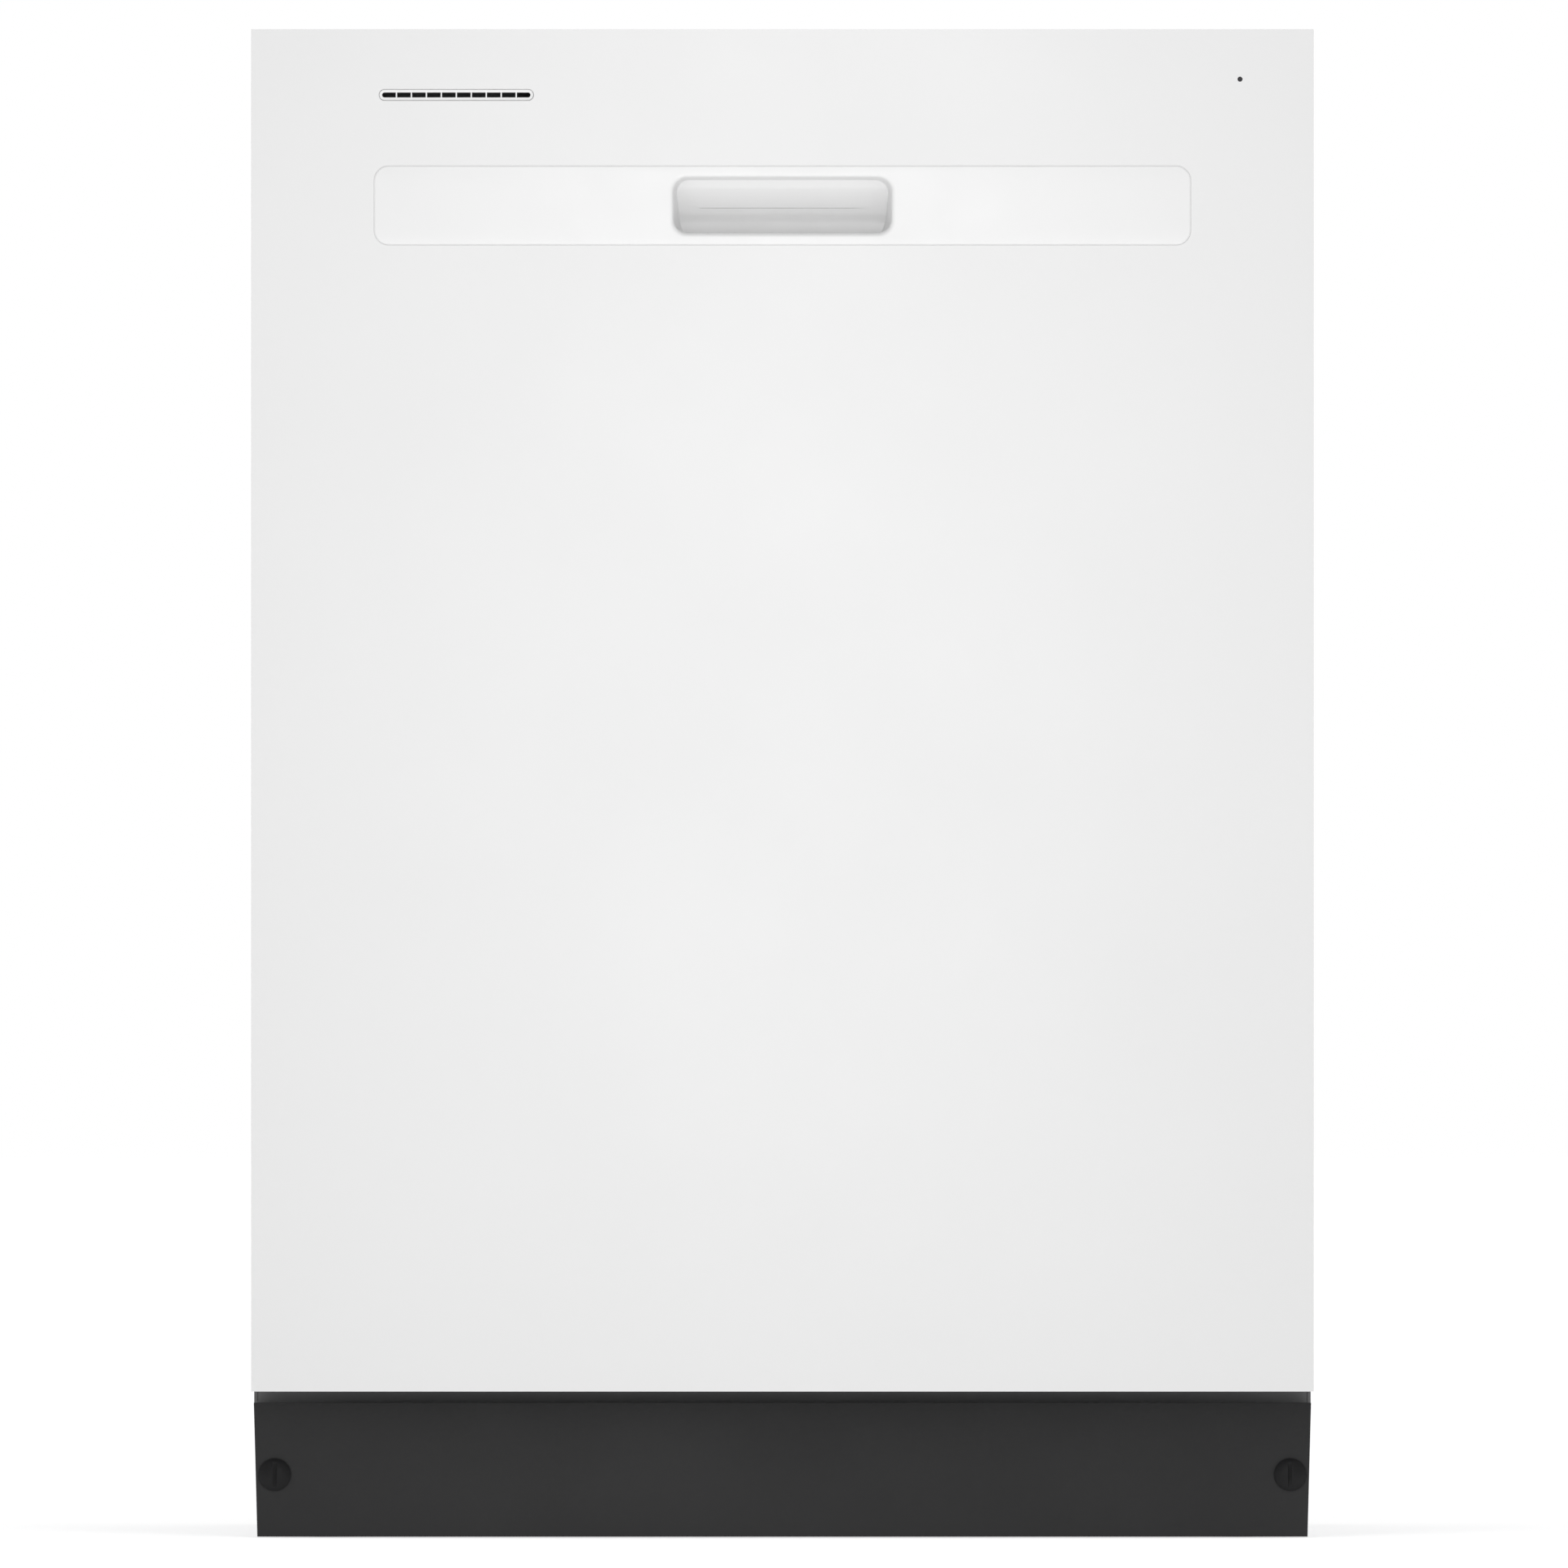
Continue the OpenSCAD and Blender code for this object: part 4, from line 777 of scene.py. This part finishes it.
def lattice(build, origin, along, up, size, bar, pitch, thick):
    """A rectangular grid of moulded bars in the plane of along and up."""
    origin, along, up = Vector(origin), Vector(along), Vector(up)
    normal = along.cross(up)

    def bar_box(start, end, half):
        reach = half * (along + up)
        corners = [start - reach - normal * thick / 2, end + reach + normal * thick / 2]
        lo = Vector(min(c[i] for c in corners) for i in range(3))
        hi = Vector(max(c[i] for c in corners) for i in range(3))
        build.box(lo, hi, 0.5 * MM, 1)

    for s in spread(bar / 2, size[0] - bar / 2, pitch):
        p = origin + along * s
        bar_box(p + up * bar / 2, p + up * (size[1] - bar / 2), bar / 2)
    for t in spread(bar / 2, size[1] - bar / 2, pitch):
        p = origin + up * t
        bar_box(p + along * bar / 2, p + along * (size[0] - bar / 2), bar / 2)


def silverware_basket():
    """Two rows of lattice pockets with a rim, under a carrying handle."""
    lo, hi = (Vector(v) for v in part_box("silverware_basket"))
    rim_z = hi[2] - 0.034
    rim_h, rim_t = 5 * MM, 3 * MM
    build = Build()
    wall = 2 * MM
    height = rim_z - lo[2]
    width, depth = hi[0] - lo[0], hi[1] - lo[1]
    bar, pitch = 2.2 * MM, 9.5 * MM
    for y in (lo[1] + wall / 2, lo[1] + depth / 2, hi[1] - wall / 2):
        lattice(build, (lo[0], y, lo[2]), (1, 0, 0), (0, 0, 1), (width, height), bar, pitch, wall)
    for x in spread(lo[0] + wall / 2, hi[0] - wall / 2, (width - wall) / 4):
        lattice(build, (x, lo[1], lo[2]), (0, 1, 0), (0, 0, 1), (depth, height), bar, pitch, wall)
    lattice(build, (lo[0], lo[1], lo[2] + wall / 2), (1, 0, 0), (0, 1, 0), (width, depth), bar, pitch, wall)
    for y0, y1 in ((lo[1], lo[1] + rim_t), (hi[1] - rim_t, hi[1])):
        build.box((lo[0], y0, rim_z - rim_h), (hi[0], y1, rim_z), 1.2 * MM, 3)
    for x0, x1 in ((lo[0], lo[0] + rim_t), (hi[0] - rim_t, hi[0])):
        build.box((x0, lo[1], rim_z - rim_h), (x1, hi[1], rim_z), 1.2 * MM, 3)
    mid = (lo + hi) / 2
    grip_r, grip_y = 3.4 * MM, mid[1] + 0.001
    left, right = mid[0] - 0.050, mid[0] + 0.050
    foot, top = rim_z - 0.012, hi[2] - grip_r
    arch = [(left, grip_y, foot), (left, grip_y, top), (right, grip_y, top), (right, grip_y, foot)]
    build.tube(rounded(arch, 14 * MM, 8), grip_r, 14)
    return build.piece("cutlery_basket_lattice", "grey_plastic", "lower_rack", ["silverware_basket"])


# ------------------------------------------------------------------ wash system

def spray_arm(node, name):
    """Hollow blade with a hub, swept ends and two rows of nozzles."""
    lo, hi = (Vector(v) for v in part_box(node))
    centre = (lo + hi) / 2
    reach = (hi[0] - lo[0]) / 2
    blade_lo, blade_hi = lo[2] + 3 * MM, hi[2] - 3 * MM
    mid_z, half_t = (blade_lo + blade_hi) / 2, (blade_hi - blade_lo) / 2
    hub_r = 0.030 if node == "lower_spray_arm" else 0.026
    build = Build()
    rings = []
    sections, sides = 40, 24
    for i in range(sections + 1):
        s = -1 + 2 * i / sections
        end = math.sqrt(max(0.0, 1 - abs(s) ** 14))
        half_w = (21 * MM - 7 * MM * abs(s)) * (0.25 + 0.75 * end)
        shift = 2.5 * MM * math.sin(s * math.pi)
        thick = half_t * (1 - 0.25 * abs(s)) * (0.4 + 0.6 * end)
        ring = []
        for k in range(sides):
            a = 2 * math.pi * k / sides
            c, t = math.cos(a), math.sin(a)
            across = half_w * math.copysign(abs(c) ** 0.7, c)
            up = thick * math.copysign(abs(t) ** 0.6, t)
            ring.append(Vector((centre[0] + s * reach, centre[1] + shift + across, mid_z + up)))
        rings.append(ring)
    build.loft(rings)
    low, high = lo[2] + 0.3 * MM, hi[2] - 0.3 * MM
    build.turned((centre[0], centre[1], 0), (0, 0, 1),
                 [(low, hub_r - 8 * MM), (low + 2 * MM, hub_r - 6.2 * MM), (blade_lo, hub_r - 5 * MM),
                  (mid_z, hub_r), (blade_hi - 1.5 * MM, hub_r - 1.2 * MM), (blade_hi, hub_r - 4.5 * MM),
                  (high - 1 * MM, hub_r - 7 * MM), (high, hub_r - 9 * MM),
                  (high - 1.2 * MM, hub_r - 13 * MM)])
    for side in (-1, 1):
        for i in range(1, 7):
            x = centre[0] + side * (hub_r + i * (reach - hub_r - 10 * MM) / 6.3)
            y = centre[1] + side * (6 if i % 2 else -4) * MM
            build.turned((x, y, mid_z), (0.1 * side, 0.3, 1),
                         [(0, 4.6 * MM), (half_t * 0.9, 4.2 * MM), (half_t + 0.9 * MM, 3.1 * MM),
                          (half_t + 0.9 * MM, 1.6 * MM), (half_t * 0.8, 1.2 * MM)], 20)
        rib_x = sorted((centre[0] + side * (hub_r - 3 * MM), centre[0] + side * (reach - 40 * MM)))
        build.box((rib_x[0], centre[1] - 0.9 * MM, mid_z),
                  (rib_x[1], centre[1] + 0.9 * MM, blade_hi + 0.7 * MM), 0.5 * MM, 2)
    return build.piece(name, NODE_SLOT[node], NODE_BODY[node], [node])


def eye(x, y, z, radius, start, way):
    """Three quarters of a ring in the spring's wire."""
    return [(x, y + way * radius * math.cos(t), z + radius * math.sin(t))
            for t in (math.radians(start - 12 * k) for k in range(25))]


def door_springs():
    """Close-wound springs that the links pull forwards; their anchored tails stay in the guide tubes."""
    lo, hi = (Vector(v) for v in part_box("door_springs"))
    wire, coil_r, turns, per_turn = 1.1 * MM, 5.8 * MM, 42, 14
    z = (lo[2] + hi[2]) / 2
    eye_r = 4.4 * MM
    front, back = lo[1] + eye_r + wire, hi[1] - eye_r - wire
    start, end = front + 0.022, back - 0.022
    coils, anchors = Build(), Build()
    for side in (-1, 1):
        x = side * (hi[0] - 7 * MM)
        coil = []
        for i in range(turns * per_turn + 1):
            a = 2 * math.pi * i / per_turn
            y = start + (end - start) * i / (turns * per_turn)
            coil.append((x + coil_r * math.sin(a), y, z + coil_r * math.cos(a)))
        lead = [(x, start - 8 * MM, z), (x, start - 2 * MM, z + coil_r * 0.7)]
        coils.tube(eye(x, front, z, eye_r, 300, 1) + lead + coil, wire, 8)
        tail = [(x, end - 0.030, z), (x, back - 0.010, z)]
        anchors.tube(tail + eye(x, back, z, eye_r, 300, -1)[::-1], wire, 8)
    anchors.piece("spring_anchor_wires", "spring_steel", "base")
    springs = coils.piece("coil_springs", "spring_steel", "base", ["door_springs"])
    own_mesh(springs)


def levelling_leg(build, x, y, lo_z, hi_z):
    """A round foot pad, a hexagon for the spanner, and a threaded stem."""
    build.turned((x, y, lo_z), (0, 0, 1),
                 [(0, 18.6 * MM), (0.6 * MM, 19.6 * MM), (2 * MM, 20 * MM), (4.5 * MM, 19.6 * MM),
                  (7.2 * MM, 13 * MM), (8 * MM, 10 * MM)])
    hex_ring = []
    for z, r in ((7.6, 10.2), (8.4, 11.0), (16.2, 11.0), (17.0, 10.0)):
        corners = (math.radians(60 * k) for k in range(6))
        hex_ring.append([Vector((x + r * MM * math.cos(a), y + r * MM * math.sin(a), lo_z + z * MM))
                         for a in corners])
    build.loft(hex_ring)
    pitch, outer, depth = 2.5 * MM, 4.9 * MM, 0.75 * MM
    sides, start = 20, lo_z + 16 * MM
    rings = []
    rows = int((hi_z - start) / (pitch / 6))
    for i in range(rows + 1):
        z = start + (hi_z - start) * i / rows
        ring = []
        for k in range(sides):
            phase = ((z - start) / pitch - k / sides) % 1.0
            r = outer - depth * abs(2 * phase - 1)
            if i == rows:
                r = outer - depth
            a = 2 * math.pi * k / sides
            ring.append(Vector((x + r * math.cos(a), y + r * math.sin(a), z)))
        rings.append(ring)
    build.loft(rings)


def legs():
    """One leg at each front corner, and the rear pair as one piece."""
    pad = 0.020
    for node in ("leg_front_left", "leg_front_right", "rear_legs"):
        lo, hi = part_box(node)
        y = (lo[1] + hi[1]) / 2
        build = Build()
        places = (lo[0] + pad, hi[0] - pad) if node == "rear_legs" else ((lo[0] + hi[0]) / 2,)
        for x in places:
            levelling_leg(build, x, y, lo[2], hi[2])
        build.piece(node + "_threaded", "dark_plastic", NODE_BODY[node], [node])


def tub_ribs():
    """Raised bands moulded into the tub's side walls and back, with the spray pipe's clips."""
    lo, hi = (Vector(v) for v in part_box("tub"))
    inner_x, back, rib_h = 0.274, hi[1] - 3 * MM, 0.016
    build = Build()
    for z in (0.250, 0.330, 0.410, 0.690, 0.740):
        for side in (-1, 1):
            across = sorted((side * (inner_x - 1.4 * MM), side * (inner_x + 1 * MM)))
            build.box((across[0], lo[1] + 0.060, z), (across[1], back - 0.050, z + rib_h), 1.1 * MM, 3)
        for x0, x1 in ((-0.235, -0.040), (0.040, 0.235)):
            build.box((x0, back - 1.6 * MM, z), (x1, back + 1 * MM, z + rib_h), 1.2 * MM, 3)
    pipe_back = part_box("feed_tube")[1][1]
    for z in (0.300, 0.560, 0.720):
        build.box((-0.014, pipe_back - 0.0105, z), (0.014, back + 1 * MM, z + 0.010), 1.5 * MM, 3)
    return build.piece("tub_ribs", "tub_plastic", "base")


# Painted light: a grey much lighter than the toe kick's black, for the access panel and its edges, to lift
# the door's shadow on them.
PAINTED_LIGHT_GREY = (0.15, 0.15, 0.152)


def access_panel_edges():
    """The access panel's folded side edges, which close the gap beside it under the door."""
    lo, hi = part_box("access_panel")
    kick_lo, kick_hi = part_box("toe_kick_panel")
    overlap, sheet = 0.5 * MM, 1.2 * MM
    foot = kick_hi[2] - 8 * MM
    build = Build()
    for side, edge, outer in ((-1, lo[0], kick_lo[0]), (1, hi[0], kick_hi[0])):
        across = sorted((edge - side * overlap, outer))
        build.box((across[0], lo[1], foot), (across[1], lo[1] + sheet, hi[2]), 0.2 * MM, 2)
    piece = build.piece("access_panel_edges", "kick_paint", "base")
    # painted light: the edges take the lighter grey instead of the kick's black, to lift the door's shadow
    # on them
    repaint(piece, painted("edge_painted_light", PAINTED_LIGHT_GREY, 0.6, 0.35).mat)


# ------------------------------------------------------------------ stage

# The picture is this wide at the door's face, and the lens is long, so the view is nearly parallel
FULL_FRAME = 0.8943
LENS, SENSOR = 1200.0, 36.0
CAMERA_X, CAMERA_Z = 0.0009, 0.4305
WHITE = (1, 1, 1, 1)
SOFT_LIGHT = 0.575


def camera():
    """Straight on to the front, level with the part's middle."""
    data = bpy.data.cameras.new("camera")
    data.sensor_width = SENSOR
    data.lens = LENS
    data.clip_start, data.clip_end = 0.1, 200
    distance = FULL_FRAME * LENS / SENSOR
    cam = place(data, "camera")
    cam.location = (CAMERA_X, CAD_BOX[0][1] - distance, CAMERA_Z)
    cam.rotation_euler = (math.radians(90), 0, 0)
    bpy.context.scene.camera = cam


def area_light(name, position, target, size, power):
    data = bpy.data.lights.new(name, "AREA")
    data.shape = "RECTANGLE"
    data.size, data.size_y = size
    data.energy = power
    light = place(data, name)
    light.location = position
    light.rotation_euler = (Vector(target) - Vector(position)).to_track_quat("-Z", "Y").to_euler()
    light.visible_camera = False


def pale_floor():
    mesh = bpy.data.meshes.new("floor")
    half = 30.0
    corners = [(-half, -half, 0), (half, -half, 0), (half, half, 0), (-half, half, 0)]
    mesh.from_pydata(corners, [], [(0, 1, 2, 3)])
    floor = place(mesh, "floor")
    shade = Shade("floor_pale", (0.92, 0.92, 0.92), 0.7, Emission_Color=WHITE, Emission_Strength=0.51)
    shade.vary_roughness(shade.noise(3, 2), 0.62, 0.78)
    mesh.materials.append(shade.mat)


def white_studio():
    """The world is seen as pure white, and lights the part with less than that."""
    world = bpy.data.worlds.new("studio")
    world.use_nodes = True
    tree = world.node_tree
    backdrop = tree.nodes["Background"]
    soft_light = tree.nodes.new("ShaderNodeBackground")
    soft_light.inputs["Strength"].default_value = SOFT_LIGHT
    seen = tree.nodes.new("ShaderNodeLightPath")
    mix = tree.nodes.new("ShaderNodeMixShader")
    backdrop.inputs["Color"].default_value = WHITE
    soft_light.inputs["Color"].default_value = WHITE
    tree.links.new(seen.outputs["Is Camera Ray"], mix.inputs["Fac"])
    tree.links.new(soft_light.outputs["Background"], mix.inputs[1])
    tree.links.new(backdrop.outputs["Background"], mix.inputs[2])
    tree.links.new(mix.outputs["Shader"], tree.nodes["World Output"].inputs["Surface"])
    bpy.context.scene.world = world


def stage():
    pale_floor()
    white_studio()
    area_light("key", (0.0, -1.35, 0.68), (0, -0.3, 0.62), (0.22, 1.1), 3.8)
    area_light("high", (0.0, -2.6, 2.6), (0, -0.2, 0.6), (1.8, 1.2), 6)
    view = bpy.context.scene.view_settings
    view.view_transform = "Standard"
    view.look = "None"


# ------------------------------------------------------------------ assembly

# CAD nodes that keep their shape, by the width of their rounded edges
SOFT_EDGES = {
    0.45 * MM: ["door_outer_panel", "kick_fastener_left", "kick_fastener_right", "button_start",
                "button_cycle", "button_dry", "button_lock", "toe_kick_panel", "access_panel",
                "latch_hook", "door_strike", "top_brackets", "hinge_arms", "hinge_brackets",
                "balance_links", "junction_box", "rail_mounts"],
    0.8 * MM: ["control_console", "latch_housing", "dispenser_cover", "rinse_aid_cap", "vent_duct",
               "inlet_valve", "drain_pump", "rail_rollers_front", "rail_rollers_rear",
               "lower_wheels_front", "lower_wheels_rear", "filter_cylinder", "overfill_float",
               "wash_motor", "feed_tube", "door_bottom_seal"],
    0.55 * MM: ["dispenser_body", "sump"],
    1.1 * MM: ["tub"],
    2.0 * MM: ["tub_gasket", "insulation_blanket", "door_insulation"],
}


def carried_over():
    """CAD nodes that are shown as they are get their finish."""
    for node, obj in frame["nodes"].items():
        if node not in replaced:
            repaint(obj, MATERIALS[NODE_SLOT[node]])


def special_finishes():
    """Pieces whose finish differs from the rest of their material slot; the access panel's lighter grey is
    painted light in the door's shadow.
    """
    sieve = perforated("sieve", (0.62, 0.62, 0.61), 2.4 * MM, 0.75 * MM, ("X", "Y"))
    repaint(frame["nodes"]["filter_plate"], sieve.mat)
    # painted light: the access panel is a light grey instead of the kick's black, to lift the door's shadow
    # on it
    recess = painted("recess_painted_light", PAINTED_LIGHT_GREY, 0.6, 0.35)
    repaint(bpy.data.objects["looks_access_panel"], recess.mat)
    knob = moulded("fastener_plastic", (0.0075, 0.0075, 0.008), 0.6, 1600, 0.1, 0.06, Specular_IOR_Level=0.2)
    for side in ("left", "right"):
        repaint(bpy.data.objects["looks_kick_fastener_" + side], knob.mat)


camera()
stage()
handle_insert()
vent_grille()
upper_rack()
lower_rack()
silverware_basket()
spray_arm("lower_spray_arm", "lower_spray_arm_blade")
spray_arm("upper_spray_arm", "upper_spray_arm_blade")
door_springs()
legs()
tub_ribs()
access_panel_edges()
for width, nodes in SOFT_EDGES.items():
    for node in nodes:
        refine(node, width)
carried_over()
special_finishes()
